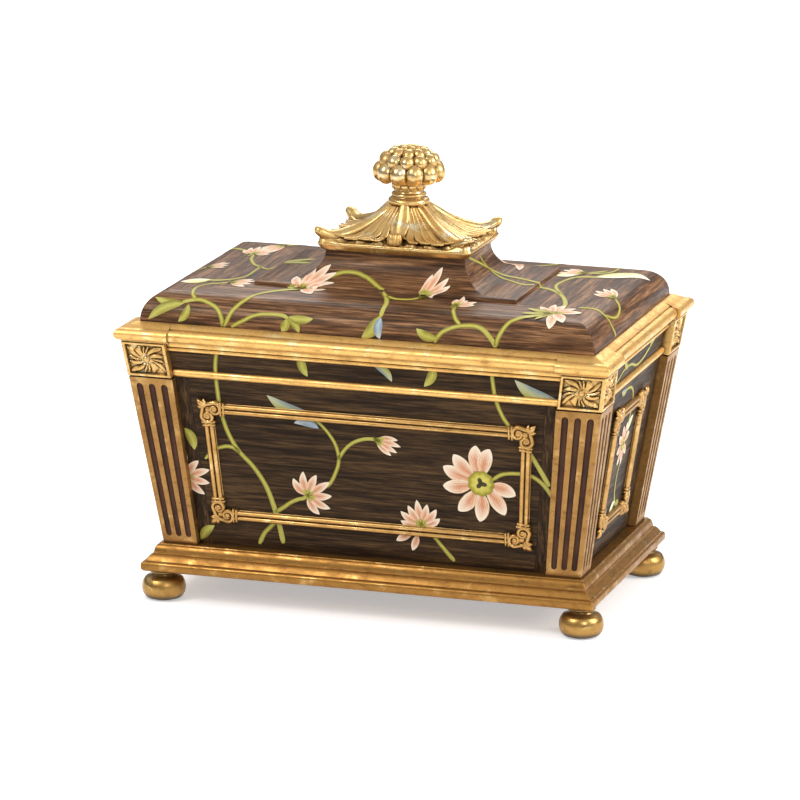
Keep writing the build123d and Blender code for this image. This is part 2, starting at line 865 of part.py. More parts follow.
# Berry knob: rings of faceted berries on a core, which ends under the top berry
core_profile = [
    (collar_waist_radius - collar_waist_depth, 0),
    (knob_core_radius, berry_seat - berry_radii[0] / 2),
    (knob_core_radius, berry_seat + berry_radii[0] / 2),
    (berry_radii[-1], knob_height - berry_radii[-1]),
]


def berry(centre, aim, radius):
    """Faceted ball with one corner pointing out along its aim."""
    plane = Plane(origin=centre, z_dir=aim)
    points = [plane.from_local_coords((0, 0, radius))]
    for turn in (-pi / 4, 0, pi / 4):
        size = radius * cos(turn)
        points += ring(plane, size, size, berry_sides, radius * sin(turn))
    return hull(points)


with BuildPart() as finial_knob:
    berries = []
    for row, (count, radius, tilt) in enumerate(zip(berry_counts, berry_radii, berry_tilts)):
        level, climb = cos(tilt * pi / 180), sin(tilt * pi / 180)
        for index in range(count):
            turn = (index + row / 2) * 360 / count
            aim = Vector(level, 0, climb).rotate(Axis.Z, turn)
            out = Vector((knob_radius - radius) * level, 0, 0).rotate(Axis.Z, turn)
            rise = knob_foot + berry_seat + (knob_height - berry_seat - radius) * climb
            berries.append(berry(out + Vector(0, 0, rise), aim, radius))
    add(turning(Plane.XY.offset(knob_foot), core_profile, 2 * berry_sides) + berries)
    with Locations((0, 0, knob_foot)):
        Cylinder(
            rod_radius + rod_clearance,
            rod_grip + rod_clearance,
            align=(Align.CENTER, Align.CENTER, Align.MIN),
            mode=Mode.SUBTRACT,
        )
save(finial_knob.part, "finial_knob")

# Threaded rod, washer and nut that draw the finial down on the lid
nut_top = crown_foot - deck_roof - washer_thickness
rod_foot = nut_top - nut_height - rod_end
rod_top = knob_foot + rod_grip
with BuildPart() as finial_rod:
    with Locations((0, 0, rod_foot)):
        Cylinder(rod_radius, rod_top - rod_foot, align=(Align.CENTER, Align.CENTER, Align.MIN))
save(finial_rod.part, "finial_rod")

with BuildPart() as rod_washer:
    with BuildSketch(Plane.XY.offset(nut_top)):
        Rectangle(washer_width, washer_width)
        Circle(rod_radius + rod_clearance, mode=Mode.SUBTRACT)
    extrude(amount=washer_thickness)
save(rod_washer.part, "rod_washer")

with BuildPart() as rod_nut:
    with BuildSketch(Plane.XY.offset(nut_top - nut_height)):
        RegularPolygon(nut_across_flats / 2, 6, major_radius=False)
        Circle(rod_radius + thread_clearance, mode=Mode.SUBTRACT)
    extrude(amount=nut_height)
save(rod_nut.part, "rod_nut")


def hinge_leaf_part(hinge_x, on_lid):
    """Leaf with every other knuckle: the case leaf has the two end ones and carries the pin."""
    low = lid_foot if on_lid else rim - hinge_leaf_thickness
    plate_out = hinge_y - knuckle_radius - hinge_clearance
    own = [index for index in range(knuckle_count) if index % 2 == on_lid]
    places = [hinge_x + (index - (knuckle_count - 1) / 2) * knuckle_pitch for index in own]
    axis = Location((hinge_x, hinge_y, hinge_z), (0, 90, 0))
    with BuildPart() as leaf:
        with BuildSketch(Plane.XY.offset(low)):
            with Locations((hinge_x, (leaf_edge + plate_out) / 2)):
                Rectangle(hinge_length, plate_out - leaf_edge)
            with Locations(*[(x, (plate_out + hinge_y) / 2) for x in places]):
                Rectangle(knuckle_pitch - knuckle_gap, hinge_y - plate_out)
        extrude(amount=hinge_leaf_thickness)
        with Locations(*[Location((x, hinge_y, hinge_z), (0, 90, 0)) for x in places]):
            Cylinder(knuckle_radius, knuckle_pitch - knuckle_gap)
        with Locations(axis):
            if on_lid:
                Cylinder(hinge_pin_radius + hinge_pin_clearance, hinge_length, mode=Mode.SUBTRACT)
            else:
                Cylinder(hinge_pin_radius, hinge_length - knuckle_pitch)
    return leaf.part


for hand, hinge_x in zip(("left", "right"), hinge_xs):
    save(hinge_leaf_part(hinge_x, on_lid=0), f"hinge_{hand}_case_leaf")
    save(hinge_leaf_part(hinge_x, on_lid=1), f"hinge_{hand}_lid_leaf")
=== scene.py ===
from math import atan2, cos, exp, hypot, pi, radians, sin, sqrt
import bpy
from mathutils import Matrix, Vector
from mathutils.bvhtree import BVHTree


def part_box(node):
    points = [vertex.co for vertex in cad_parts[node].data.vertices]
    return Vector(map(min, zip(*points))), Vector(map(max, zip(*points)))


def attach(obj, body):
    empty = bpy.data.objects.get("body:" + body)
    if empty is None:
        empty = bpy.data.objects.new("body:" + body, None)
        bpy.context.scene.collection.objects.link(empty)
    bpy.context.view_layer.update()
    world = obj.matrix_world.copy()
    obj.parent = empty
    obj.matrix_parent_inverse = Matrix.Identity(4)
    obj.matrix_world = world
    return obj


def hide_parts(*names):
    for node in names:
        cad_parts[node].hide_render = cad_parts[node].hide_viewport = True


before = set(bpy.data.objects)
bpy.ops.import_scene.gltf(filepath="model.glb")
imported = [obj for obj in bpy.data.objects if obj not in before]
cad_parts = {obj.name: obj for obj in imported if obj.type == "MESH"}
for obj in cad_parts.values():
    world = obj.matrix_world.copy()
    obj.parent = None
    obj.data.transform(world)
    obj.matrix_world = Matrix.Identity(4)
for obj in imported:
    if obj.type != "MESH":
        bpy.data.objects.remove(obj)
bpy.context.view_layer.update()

# A gilt and dark wood casket. Lengths in this script are in millimetres, in the frame's axes:
# +X along the front, the front faces -Y, and the feet stand on Z = 0.
MM = 0.001
UP = Vector((0, 0, 1))
QUARTERS = ((-1, -1), (1, -1), (1, 1), (-1, 1))     # signs of x and y at the four corners


# Sizes read from the frame

def span(node):
    """Lowest and highest corner of a CAD node, in millimetres."""
    low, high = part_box(node)
    return Vector(low) / MM, Vector(high) / MM


board_low, board_high = span("base_board")
pilaster_low, pilaster_high = span("pilaster_front_right")
block_low, block_high = span("rosette_block_front_right")
cornice_low, cornice_high = span("cornice_front")
crown_low, crown_high = span("lid_crown")
collar_low, collar_high = span("finial_collar")
deck_high = span("lid_deck")[1]
mount_high = span("finial_mount")[1]
foot_high = span("bun_feet")[1]

wall_foot = pilaster_low.z
pilaster_top = pilaster_high.z
block_foot = block_low.z
rim = block_high.z
lid_foot = cornice_low.z
lid_board_foot = cornice_high.z
crown_foot = crown_low.z
crown_top = crown_high.z

sides = ("front", "right", "back", "left")
long_sides = ("front", "back")
across = {"front": "right", "right": "front", "back": "right", "left": "front"}
rim_reach = {"right": block_high.x, "front": -block_low.y}
leans = {
    "right": (block_high.x - pilaster_high.x) / (rim - pilaster_top),
    "front": (pilaster_low.y - block_low.y) / (rim - pilaster_top),
}
for opposite, side in (("back", "front"), ("left", "right")):
    rim_reach[opposite] = rim_reach[side]
    leans[opposite] = leans[side]

PANEL_RECESS = 6.0              # of the panels behind the pilasters
PILASTER_TOP_WIDTH = 30.5
PILASTER_FOOT_WIDTH = 23.9
BLOCK_WIDTH = 30.0
WAIST_RISE = 4.0                # of the waist bead over the pilasters
BAND_WIDTH = 9.0                # of the cross-band beside a pilaster
BAND_LINE = 0.5                 # half width of the dark line along it
BAND_BLUR = 0.1


def wall(side, height, inset=0):
    """Distance from the middle of the case out to a wall at a height."""
    return rim_reach[side] - leans[side] * (rim - height) - inset


# Materials

CREVICE_SAMPLES = 6
LACQUER_TINT = (1.0, 0.86, 0.7, 1.0)


class Nodes:
    """Short names for the node tree of one material or world."""

    def __init__(self, tree, shader):
        self.tree = tree
        self.shader = tree.nodes[shader]
        self.place = tree.nodes.new("ShaderNodeTexCoord").outputs

    def fill(self, socket, value):
        if isinstance(value, bpy.types.NodeSocket):
            self.tree.links.new(value, socket)
        else:
            socket.default_value = value

    def fill_all(self, node, inputs):
        for name, value in inputs.items():
            self.fill(node.inputs[name.replace("_", " ")], value)

    def set(self, **inputs):
        self.fill_all(self.shader, inputs)

    def add(self, kind, **inputs):
        node = self.tree.nodes.new(kind)
        self.fill_all(node, inputs)
        return node

    def split(self, space):
        """The three numbers of a texture coordinate."""
        return self.add("ShaderNodeSeparateXYZ", Vector=self.place[space]).outputs

    def noise(self, scale, detail=4, rough=0.55, stretch=(1, 1, 1), distort=0.0):
        mapping = self.add("ShaderNodeMapping", Vector=self.place["Object"], Scale=stretch)
        look = {"Scale": scale, "Detail": detail, "Roughness": rough, "Distortion": distort}
        return self.add("ShaderNodeTexNoise", Vector=mapping.outputs[0], **look).outputs["Fac"]

    def ramp(self, value, *stops):
        node = self.add("ShaderNodeValToRGB", Fac=value)
        points = node.color_ramp.elements
        while len(points) < len(stops):
            points.new(1)
        for point, (position, colour) in zip(points, stops):
            point.position = position
            point.color = (*colour, 1)
        return node.outputs["Color"]

    def band(self, value, low, high, start=0.0, end=1.0):
        """Smooth step from start to end as the value goes from low to high."""
        limits = {"From_Min": low, "From_Max": high, "To_Min": start, "To_Max": end}
        node = self.add("ShaderNodeMapRange", Value=value, **limits)
        node.interpolation_type = "SMOOTHSTEP"
        return node.outputs[0]

    def math(self, operation, *values):
        node = self.add("ShaderNodeMath")
        node.operation = operation
        for socket, value in zip(node.inputs, values):
            self.fill(socket, value)
        return node.outputs[0]

    def mix(self, factor, first, second):
        """Colour mix: the numbers are the places of the colour sockets on the node."""
        node = self.add("ShaderNodeMix")
        node.data_type = "RGBA"
        for index, value in ((0, factor), (6, first), (7, second)):
            self.fill(node.inputs[index], (*value, 1) if isinstance(value, tuple) else value)
        return node.outputs[2]

    def attribute(self, name):
        node = self.add("ShaderNodeAttribute")
        node.attribute_name = name
        return node.outputs["Fac"]

    def crevice(self, distance):
        """Share of open air within a distance of the surface: low in corners and grooves, where the gilding
        takes painted shade.
        """
        node = self.add("ShaderNodeAmbientOcclusion", Distance=distance * MM)
        node.samples = CREVICE_SAMPLES
        return node.outputs["AO"]

    def bump(self, height, strength, distance, normal=None):
        node = self.add("ShaderNodeBump", Height=height, Strength=strength, Distance=distance * MM)
        if normal is not None:
            self.fill(node.inputs["Normal"], normal)
        return node.outputs[0]


def shade(name):
    """New material, with the helper that fills its nodes."""
    material = bpy.data.materials.new(name)
    material.use_nodes = True
    return material, Nodes(material.node_tree, "Principled BSDF")


def tones(codes):
    """Scene-linear colours from hexadecimal display colours in one text."""
    def linear(code, start):
        share = int(code[start:start + 2], 16) / 255
        return share / 12.92 if share <= 0.0404 else ((share + 0.055) / 1.055) ** 2.4

    return [tuple(linear(code, start) for start in (0, 2, 4)) for code in codes.split()]


def gold_tone(nodes, codes, grain=1.0, reach=3.0):
    """Softly mottled gold leaf, rubbed through in small spots, and darkened in the crevices by patina and
    painted shade.
    """
    leaf, glow, rub, patina_and_shade = tones(codes)
    cloud = nodes.noise(75 * grain, 6, 0.6, distort=0.3)
    speck = nodes.noise(620 * grain, 4, 0.65)
    patch = nodes.noise(240 * grain, 6, 0.7, (0.4, 0.4, 1.4))
    shaded = tuple((2 * a + b) / 3 for a, b in zip(leaf, rub))
    tone = nodes.ramp(cloud, (0.32, shaded), (0.46, leaf), (0.56, leaf), (0.74, glow))
    tone = nodes.mix(nodes.band(patch, 0.54, 0.7, 0, 0.6), tone, rub)
    tone = nodes.mix(nodes.band(speck, 0.57, 0.7, 0, 0.5), tone, rub)
    # Painted shade: where little open air reaches, in corners, grooves and near the floor, the colour turns
    # to the patina and shade tone.
    open_air = nodes.crevice(reach)
    tone = nodes.mix(nodes.band(open_air, 0.3, 0.95, 0.95, 0), tone, patina_and_shade)
    height = nodes.bump(speck, 0.3, 0.12, nodes.bump(cloud, 0.4, 0.6))
    return tone, cloud, open_air, height


def gilt(name, codes, polish=0.3, grain=1.0, metal=0.85, reach=3.0):
    """Antique gilding: colours of the leaf, its glow, the rubbed spots, and the patina and painted shade in
    the crevices, where it is also less metallic.
    """
    material, nodes = shade(name)
    tone, cloud, open_air, height = gold_tone(nodes, codes, grain, reach)
    nodes.set(Base_Color=tone, Metallic=nodes.band(open_air, 0.3, 0.9, 0.25, metal))
    nodes.set(Roughness=nodes.band(cloud, 0.36, 0.66, polish + 0.2, polish), Normal=height)
    return material


def fluted_gold(name, codes, inlay_code):
    """Gilding with flutes that are dark inside, where the mark on the mesh says so."""
    material, nodes = shade(name)
    inlay = tones(inlay_code)[0]
    tone, cloud, open_air, height = gold_tone(nodes, codes, reach=2.0)
    inside = nodes.band(nodes.attribute("mark"), 0.35, 0.75)
    paler = tuple(c * 2.6 for c in inlay)
    stain = nodes.ramp(nodes.noise(260, 4, 0.6, (1, 1, 0.12)), (0.35, inlay), (0.7, paler))
    nodes.set(Base_Color=nodes.mix(inside, tone, stain), Specular_IOR_Level=0.25)
    gilded = nodes.math("SUBTRACT", 1, inside)
    # Less metallic in the crevices too, part of their painted shade.
    nodes.set(Metallic=nodes.math("MULTIPLY", nodes.band(open_air, 0.3, 0.9, 0.25, 0.8), gilded))
    nodes.set(Roughness=nodes.band(cloud, 0.36, 0.66, 0.52, 0.34), Normal=height)
    return material


def wood_tone(nodes, along, dark, mid, light):
    """Streaky straight grain along one axis, as a colour and a height."""
    def stretch(share):
        return tuple(share if axis == along else 1 for axis in range(3))

    lines = nodes.noise(560, 5, 0.7, stretch(0.05), 0.25)
    bands = nodes.noise(150, 4, 0.6, stretch(0.07), 0.6)
    pores = nodes.noise(1300, 2, 0.5, stretch(0.05))
    grain = nodes.math("ADD", nodes.math("MULTIPLY", lines, 0.62), nodes.math("MULTIPLY", bands, 0.38))
    tone = nodes.ramp(grain, (0.4, dark), (0.5, mid), (0.62, light))
    return nodes.mix(nodes.band(pores, 0.55, 0.68, 0, 0.55), tone, dark), grain


def lacquer(nodes, tone, grain, shine, smooth):
    """Low-gloss lacquer over a wood tone, duller in the open grain."""
    nodes.set(Base_Color=tone, Metallic=0.0, Roughness=nodes.band(grain, 0.38, 0.62, smooth + 0.12, smooth))
    nodes.set(Specular_IOR_Level=shine, Specular_Tint=LACQUER_TINT)
    nodes.set(Normal=nodes.bump(grain, 0.14, 0.2))


def lid_wood(name, codes):
    """Lacquered wood with its grain along X, or along Y where a facet faces the ends."""
    material, nodes = shade(name)
    tone, grain = wood_tone(nodes, 0, *tones(codes))
    end_tone = wood_tone(nodes, 1, *tones(codes))[0]
    normal = nodes.split("Normal")
    facing = [nodes.math("ABSOLUTE", normal[axis]) for axis in (0, 1)]
    ends = nodes.band(nodes.math("SUBTRACT", *facing), 0.0, 0.02)
    lacquer(nodes, nodes.mix(ends, tone, end_tone), grain, 0.24, 0.33)
    return material


def panel_wood(name, codes, axis):
    """Case wood along one axis, with an upright cross-band beside each pilaster."""
    material, nodes = shade(name)
    dark, mid, light = tones(codes)
    tone, grain = wood_tone(nodes, axis, dark, mid, light)
    upright = wood_tone(nodes, 2, dark, mid, light)[0]
    spot = nodes.split("Object")
    end_side = ("right", "front")[axis]
    foot_run = wall(end_side, wall_foot, PILASTER_FOOT_WIDTH)
    slope = (wall(end_side, pilaster_top, PILASTER_TOP_WIDTH) - foot_run) / (pilaster_top - wall_foot)
    start = (foot_run - slope * wall_foot - BAND_WIDTH) * MM
    edge = nodes.math("MULTIPLY_ADD", spot[2], slope, start)
    past = nodes.math("SUBTRACT", nodes.math("ABSOLUTE", spot[axis]), edge)
    waist = pilaster_top + WAIST_RISE
    below = nodes.band(spot[2], (waist - 1) * MM, waist * MM, 1, 0)
    line, blur = BAND_LINE * MM, BAND_BLUR * MM
    banded = nodes.math("MULTIPLY", nodes.band(past, -blur, blur), below)
    dark_line = nodes.math("SUBTRACT", nodes.band(past, -line, -blur), nodes.band(past, blur, line))
    dark_line = nodes.math("MULTIPLY", nodes.math("MULTIPLY", dark_line, below), 0.7)
    tone = nodes.mix(dark_line, nodes.mix(banded, tone, upright), dark)
    lacquer(nodes, tone, grain, 0.16, 0.44)
    return material


def plain_wood(name, codes):
    """Unfinished board, for the underside."""
    material, nodes = shade(name)
    dark, light = tones(codes)
    tone, grain = wood_tone(nodes, 0, dark, tuple((a + b) / 2 for a, b in zip(dark, light)), light)
    nodes.set(Base_Color=tone, Roughness=nodes.band(grain, 0.3, 0.7, 0.8, 0.65))
    nodes.set(Normal=nodes.bump(grain, 0.3, 0.3))
    return material


def felt(name, codes):
    """Short felt: matted fibres and a soft sheen."""
    material, nodes = shade(name)
    pile, shadow = tones(codes)
    fibre = nodes.noise(1500, 5, 0.7)
    worn = nodes.noise(22, 4, 0.6)
    wear = nodes.band(worn, 0.4, 0.7, 0, 0.4)
    tone = nodes.mix(wear, nodes.ramp(fibre, (0.35, shadow), (0.65, pile)), shadow)
    nodes.set(Base_Color=tone, Roughness=nodes.band(fibre, 0.3, 0.7, 0.95, 0.85))
    nodes.set(Sheen_Weight=0.35, Sheen_Roughness=0.5, Normal=nodes.bump(fibre, 0.6, 0.3))
    return material


def worked_metal(name, codes, rough):
    """Brushed and lightly stained metal, for the fittings."""
    material, nodes = shade(name)
    bright, dull = tones(codes)
    brush = nodes.noise(700, 3, 0.6, (0.05, 1, 1))
    stain = nodes.noise(60, 5, 0.6)
    stained = nodes.band(stain, 0.45, 0.7, 0, 0.7)
    tone = nodes.mix(stained, nodes.ramp(brush, (0.35, dull), (0.6, bright)), dull)
    nodes.set(Base_Color=tone, Metallic=1.0, Roughness=nodes.band(stain, 0.35, 0.7, rough, rough + 0.2))
    nodes.set(Normal=nodes.bump(brush, 0.1, 0.1))
    return material


def painted(name, codes, fade_from):
    """Brushed paint: colours across a stroke, fine streaks along it, and a fade to its tip."""
    material, nodes = shade(name)
    left, middle, right, streak, fade = tones(codes)
    wobble = nodes.math("MULTIPLY", nodes.math("SUBTRACT", nodes.noise(260, 3, 0.6), 0.5), 0.35)
    place = nodes.math("ADD", nodes.attribute("mark"), wobble)
    tone = nodes.ramp(place, (0.1, left), (0.5, middle), (0.9, right))
    strokes = nodes.math("SINE", nodes.math("MULTIPLY", place, 46.0))
    tone = nodes.mix(nodes.band(strokes, 0.1, 1.0, 0, 0.6), tone, streak)
    tone = nodes.mix(nodes.band(nodes.attribute("edge"), fade_from, 1.0, 0, 0.85), tone, fade)
    nodes.set(Base_Color=tone, Roughness=nodes.band(strokes, -1, 1, 0.46, 0.56), Specular_IOR_Level=0.3)
    return material


# reach: how far, in millimetres, the patina and painted shade spread from the crevices. On the feet it is
# long enough to paint shade on their lower parts by the floor.
GOLD = gilt("gilt_wood", "a27438 d6ac68 68421c 2e1b0a")
EDGE_GOLD = gilt("gilt_moulding", "f0c072 ffeaaa 966632 3a240e", 0.32)
CAST = gilt("gilt_casting", "deb876 fff4d0 9e6e30 4c2d0c", 0.22, metal=0.92, reach=3.6)
FRAME_GOLD = gilt("gilt_frame", "c89c5c f4d090 84582a 3a220c", 0.26, metal=0.9, reach=2.4)
CARVED = gilt("gilt_carving", "deb46e fff0c2 8c5c2a 2e1a08", 0.24, 1.4, reach=3.4)
FEET = gilt("gilt_burnished", "b48c4e e2c280 744e22 281808", 0.2, metal=0.92, reach=7)
FLUTED = fluted_gold("gilt_pilaster", "a67c46 d4ac70 684420 2a180a", "382014")
CASE_WOOD = panel_wood("case_wood", "1c120b 342518 5c442b", 0)
END_WOOD = panel_wood("end_wood", "1c120b 342518 5c442b", 1)
LID_WOOD = lid_wood("lid_wood", "321f13 62422b a27650")
BARE_WOOD = plain_wood("bare_wood", "5c422c 967452")
FELT = felt("lining_felt", "701e22 3e0c10")
BRASS = worked_metal("hinge_brass", "e2ba68 966c36", 0.3)
STEEL = worked_metal("rod_steel", "bcbcbe 787470", 0.34)

# Paints: left, middle and right of a stroke, its streaks, its tip, and where the tip starts
PAINTS = {
    kind: painted(f"paint_{kind}", codes, fade_from)
    for kind, codes, fade_from in (
        ("stem", "706822 ccc258 7c7428 a8a044 b8b056", 0.55),
        ("petal", "f6e2c4 d8946c f2d0ae ba6a46 faecd4", 0.45),
        ("green", "847e2e c6be58 9e963a 7c7628 c2bc64", 0.55),
        ("blue", "5c6e7c 9caeb8 708292 c8d0d0 ced4d0", 0.55),
        ("two_tone", "708494 acae7a 9a963a acae74 bcbc9c", 0.55),
        ("pale", "f0eed2 e8e4a0 ceca68 f6f4de faecd4", 0.55),
        ("eye", "c4ba46 d6ca56 968c2c a09432 807628", 0.9),
        ("eye_ring", "f0e284 e2d468 cec054 baac46 c4b850", 0.55),
        ("eye_dark", "2c2610 3c3416 544a1e 322a12 463c1a", 0.55),
    )
}


# Meshes

EDGE_ANGLE = 38                 # an edge sharper than this stays an edge, and can be bevelled


def round_turns(count):
    """Angles spread evenly round a circle."""
    return [2 * pi * k / count for k in range(count)]


def arc(centre, radius, start, end, steps):
    """Points of an arc in a section: angles in degrees."""
    turns = [radians(start + (end - start) * k / steps) for k in range(steps + 1)]
    return [(centre[0] + radius * cos(t), centre[1] + radius * sin(t)) for t in turns]


def rectangle_loop(half_x, half_y, z, radius, notch=None):
    """Level outline with rounded corners. notch gives where the sides step back, and how far."""
    loop = []
    for (sx, sy), start in zip(QUARTERS, (180, 270, 0, 90)):
        centre = (sx * (half_x - radius), sy * (half_y - radius))
        loop += [(x, y, z) for x, y in arc(centre, radius, start, start + 90, 3)]
        if notch:
            start_x, start_y, depth = notch
            steps = ((sy, 0), (sy, depth), (-sy, depth), (-sy, 0))
            if sx == sy:
                loop += [(hand * start_x, sy * (half_y - back), z) for hand, back in steps]
            else:
                loop += [(sx * (half_x - back), hand * start_y, z) for hand, back in steps]
    return loop


def smooth_path(points, step):
    """Catmull-Rom curve through points of any size, with samples about a step apart."""
    points = [Vector(point) for point in points]
    padded = [points[0] * 2 - points[1]] + points + [points[-1] * 2 - points[-2]]
    path = [points[0]]
    for a, b, c, d in zip(padded, padded[1:], padded[2:], padded[3:]):
        count = max(int((c - b).length / step), 2)
        for k in range(1, count + 1):
            t = k / count
            square, cube = 2 * a - 5 * b + 4 * c - d, 3 * b - a - 3 * c + d
            path.append((2 * b + (c - a) * t + square * t**2 + cube * t**3) / 2)
    return path


class Shape:
    """Collects the points and faces of one mesh. Each point carries two marks from 0 to 1."""

    def __init__(self):
        self.points = []
        self.faces = []
        self.marks = []

    def grid(self, rows, wrap=False, marks=None, ends=False, flip=False):
        """Quads between rows of points. wrap joins each row's ends; ends closes the first and last row."""
        start, count = len(self.points), len(rows[0])
        faces = []
        for index, row in enumerate(rows):
            self.points += [tuple(point) for point in row]
            self.marks += marks[index] if marks else [(0.0, 0.0)] * count
        for row in range(len(rows) - 1):
            for column in range(count if wrap else count - 1):
                a = start + row * count
                after = (column + 1) % count
                faces.append((a + column, a + after, a + count + after, a + count + column))
        if ends:
            last = start + (len(rows) - 1) * count
            faces.append(tuple(range(start, start + count))[::-1])
            faces.append(tuple(range(last, last + count)))
        self.faces += [face[::-1] for face in faces] if flip else faces

    def lathe(self, profile, centre=(0, 0), count=48):
        """Turned form round an upright axis: the profile is a list of radius and height."""
        turns = round_turns(count)
        rows = [[(centre[0] + r * cos(t), centre[1] + r * sin(t), z) for t in turns] for r, z in profile]
        self.grid(rows, wrap=True, ends=True)

    def tube(self, path, widths, heights, up=UP, count=10, round_ends=True):
        """Rounded strand along a path: half widths across it, half heights along up."""
        path = [Vector(point) for point in path]
        stops = []
        for index, point in enumerate(path):
            forward = (path[min(index + 1, len(path) - 1)] - path[max(index - 1, 0)]).normalized()
            stops.append((point, forward, widths[index], heights[index]))
        if round_ends:
            caps = [
                [
                    (point + forward * width * sqrt(1 - s * s) * sign, forward, width * s, height * s)
                    for s in (0.05, 0.5, 0.85)
                ]
                for (point, forward, width, height), sign in ((stops[0], -1), (stops[-1], 1))
            ]
            stops = caps[0] + stops + caps[1][::-1]
        turns = round_turns(count)
        rows = []
        for point, forward, width, height in stops:
            aside = up.cross(forward).normalized()
            rise = forward.cross(aside)
            rows.append([point + aside * (width * cos(t)) + rise * (height * sin(t)) for t in turns])
        self.grid(rows, wrap=True, ends=True)

    def ball(self, centre, radii, axis=UP, count=14, rings=9):
        """Ellipsoid with its third radius along an axis."""
        turn = UP.rotation_difference(axis.normalized())
        wide, deep, tall = radii
        rows = []
        for ring in range(rings + 1):
            tilt = pi * ring / rings
            size = max(sin(tilt), 0.01)
            half_x, half_y, height = wide * size, deep * size, -tall * cos(tilt)
            offsets = [(half_x * cos(t), half_y * sin(t), height) for t in round_turns(count)]
            rows.append([Vector(centre) + turn @ Vector(offset) for offset in offsets])
        self.grid(rows, wrap=True, ends=True)

    def build(self, name, material, body, replaces=(), smooth=EDGE_ANGLE, bevel=0.0):
        """Turn what was collected into an object that rides on a body."""
        mesh = bpy.data.meshes.new(name)
        mesh.from_pydata([tuple(c * MM for c in point) for point in self.points], [], self.faces)
        for index, layer in enumerate(("mark", "edge")):
            attribute = mesh.attributes.new(layer, "FLOAT", "POINT")
            attribute.data.foreach_set("value", [pair[index] for pair in self.marks])
        mesh.polygons.foreach_set("use_smooth", [True] * len(mesh.polygons))
        mesh.set_sharp_from_angle(angle=radians(smooth))
        mesh.materials.append(material)
        piece = bpy.data.objects.new(name, mesh)
        bpy.context.collection.objects.link(piece)
        if bevel:
            cut = piece.modifiers.new("edges", "BEVEL")
            cut.width = bevel * MM
            cut.segments = 2
            cut.limit_method = "ANGLE"
            cut.angle_limit = radians(EDGE_ANGLE)
        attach(piece, body)
        if replaces:
            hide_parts(*replaces)
        return piece


# Mouldings and boards

CORNER = 0.7                    # rounding of every moulding's corners
BREAK_OUT = 2.5                 # of the lid's roll over the corner blocks
NO_STEP = 0.01                  # the same for a row that stays straight
CORNICE_WIDTH = 29.5
SOFFIT_LIFT = 0.05              # lets the hinge leaves show in the soffit
LEDGE_BACK = 13.9 - BREAK_OUT   # from the roll at the corners to where the lid board starts

OVOLO = 17.6                    # radius of the lid board's rounded edge
OVOLO_LIFT = 1.5
DECK_CORNER = 1.6
COVE = 19.7                     # radius of the crown's hollow sides
COVE_RUN_X, COVE_RUN_Y = 22.5, 4.0      # from the crown's edge in to where its hollow starts
COVE_LIFT = 2.6
CROWN_CORNER = 0.9
CROWN_RISER = ((0, 0, 0), (0, 0, 1.6), (0.25, 0.25, 2.1), (0.8, 0.7, 2.35))     # back in x and y, and up


def plinth():
    """Base board with rounded edges, and the shoulder, step and cove on it."""
    reach_x, reach_y = board_high.x, board_high.y
    low, top = board_low.z, board_high.z
    edge, shoulder, cove_back, inner, core = 2.5, 7.0, 9.7, 30, 29
    step_low, step_high, lip = top + 4.6, top + 5.4, top + 10.4
    turns = [pi / 2 * s for s in (0.2, 0.4, 0.6, 0.8, 1)]
    section = [(inner, low)] + [(back + edge, z + edge) for back, z in arc((0, low), edge, 270, 180, 5)]
    section += [(back + edge, z - edge) for back, z in arc((0, top), edge, 180, 90, 5)]
    section += [(edge + (shoulder - edge) * 2 * t / pi, top + (step_low - top) * sin(t)) for t in turns]
    section += [
        (shoulder + (cove_back - shoulder) * (1 - cos(t)) ** 0.8, step_high + (lip - step_high) * sin(t))
        for t in [0] + turns
    ]
    section += [(cove_back, wall_foot), (inner, wall_foot)]
    rows = [rectangle_loop(reach_x - back, reach_y - back, z, CORNER) for back, z in section]
    shape = Shape()
    shape.grid(rows + rows[:1], wrap=True)
    replaced = ["base_board"] + [f"plinth_moulding_{side}" for side in sides]
    shape.build("plinth", GOLD, "case", replaced, bevel=0.25)
    under = Shape()
    loops = [rectangle_loop(reach_x - core, reach_y - core, z, CORNER) for z in (low + 0.2, top)]
    under.grid(loops, wrap=True, ends=True)
    under.build("base_core", BARE_WOOD, "case")


def cornice():
    """Lid moulding: soffit, roll, quirk and sloping ledge. The roll breaks out over the corner blocks."""
    roll, lift, quirk, riser = 4.0, 0.7, 1.2, 0.9
    soffit, centre_z = lid_foot + SOFFIT_LIFT, lid_foot + lift + roll
    top = centre_z + roll
    section = [(CORNICE_WIDTH, soffit, NO_STEP), (roll, soffit, BREAK_OUT)]
    section += [(roll - r, z, BREAK_OUT) for r, z in arc((0, centre_z), roll, -90, 90, 12)]
    section += [(roll + quirk, top, BREAK_OUT), (roll + quirk + BREAK_OUT / 2, top + riser, BREAK_OUT / 2)]
    section += [(back, lid_board_foot, NO_STEP) for back in (LEDGE_BACK, CORNICE_WIDTH)]
    starts = [wall(side, rim, BLOCK_WIDTH + 3) for side in ("right", "front")]
    reach_x, reach_y = span("cornice_right")[1].x, -cornice_low.y
    rows = [
        rectangle_loop(reach_x - back, reach_y - back, z, CORNER, (*starts, depth))
        for back, z, depth in section
    ]
    shape = Shape()
    shape.grid(rows + rows[:1], wrap=True)
    shape.build("cornice", EDGE_GOLD, "lid", [f"cornice_{side}" for side in sides])


def lid_board(name, rows, corner, bevel, flip):
    """Board from level outlines, closed on top. Returns the shape of its sides, for the painter."""
    loops = [rectangle_loop(x, y, z, corner) for x, y, z in rows]
    whole, skin = Shape(), Shape()
    for shape in (whole, skin):
        shape.grid(loops, wrap=True)
    middle = (0, 0, rows[-1][2])
    whole.grid([[middle] * len(loops[-1]), loops[-1]], wrap=True, flip=flip)
    whole.build(name, LID_WOOD, "lid", [f"lid_{name}"], bevel=bevel)
    return skin


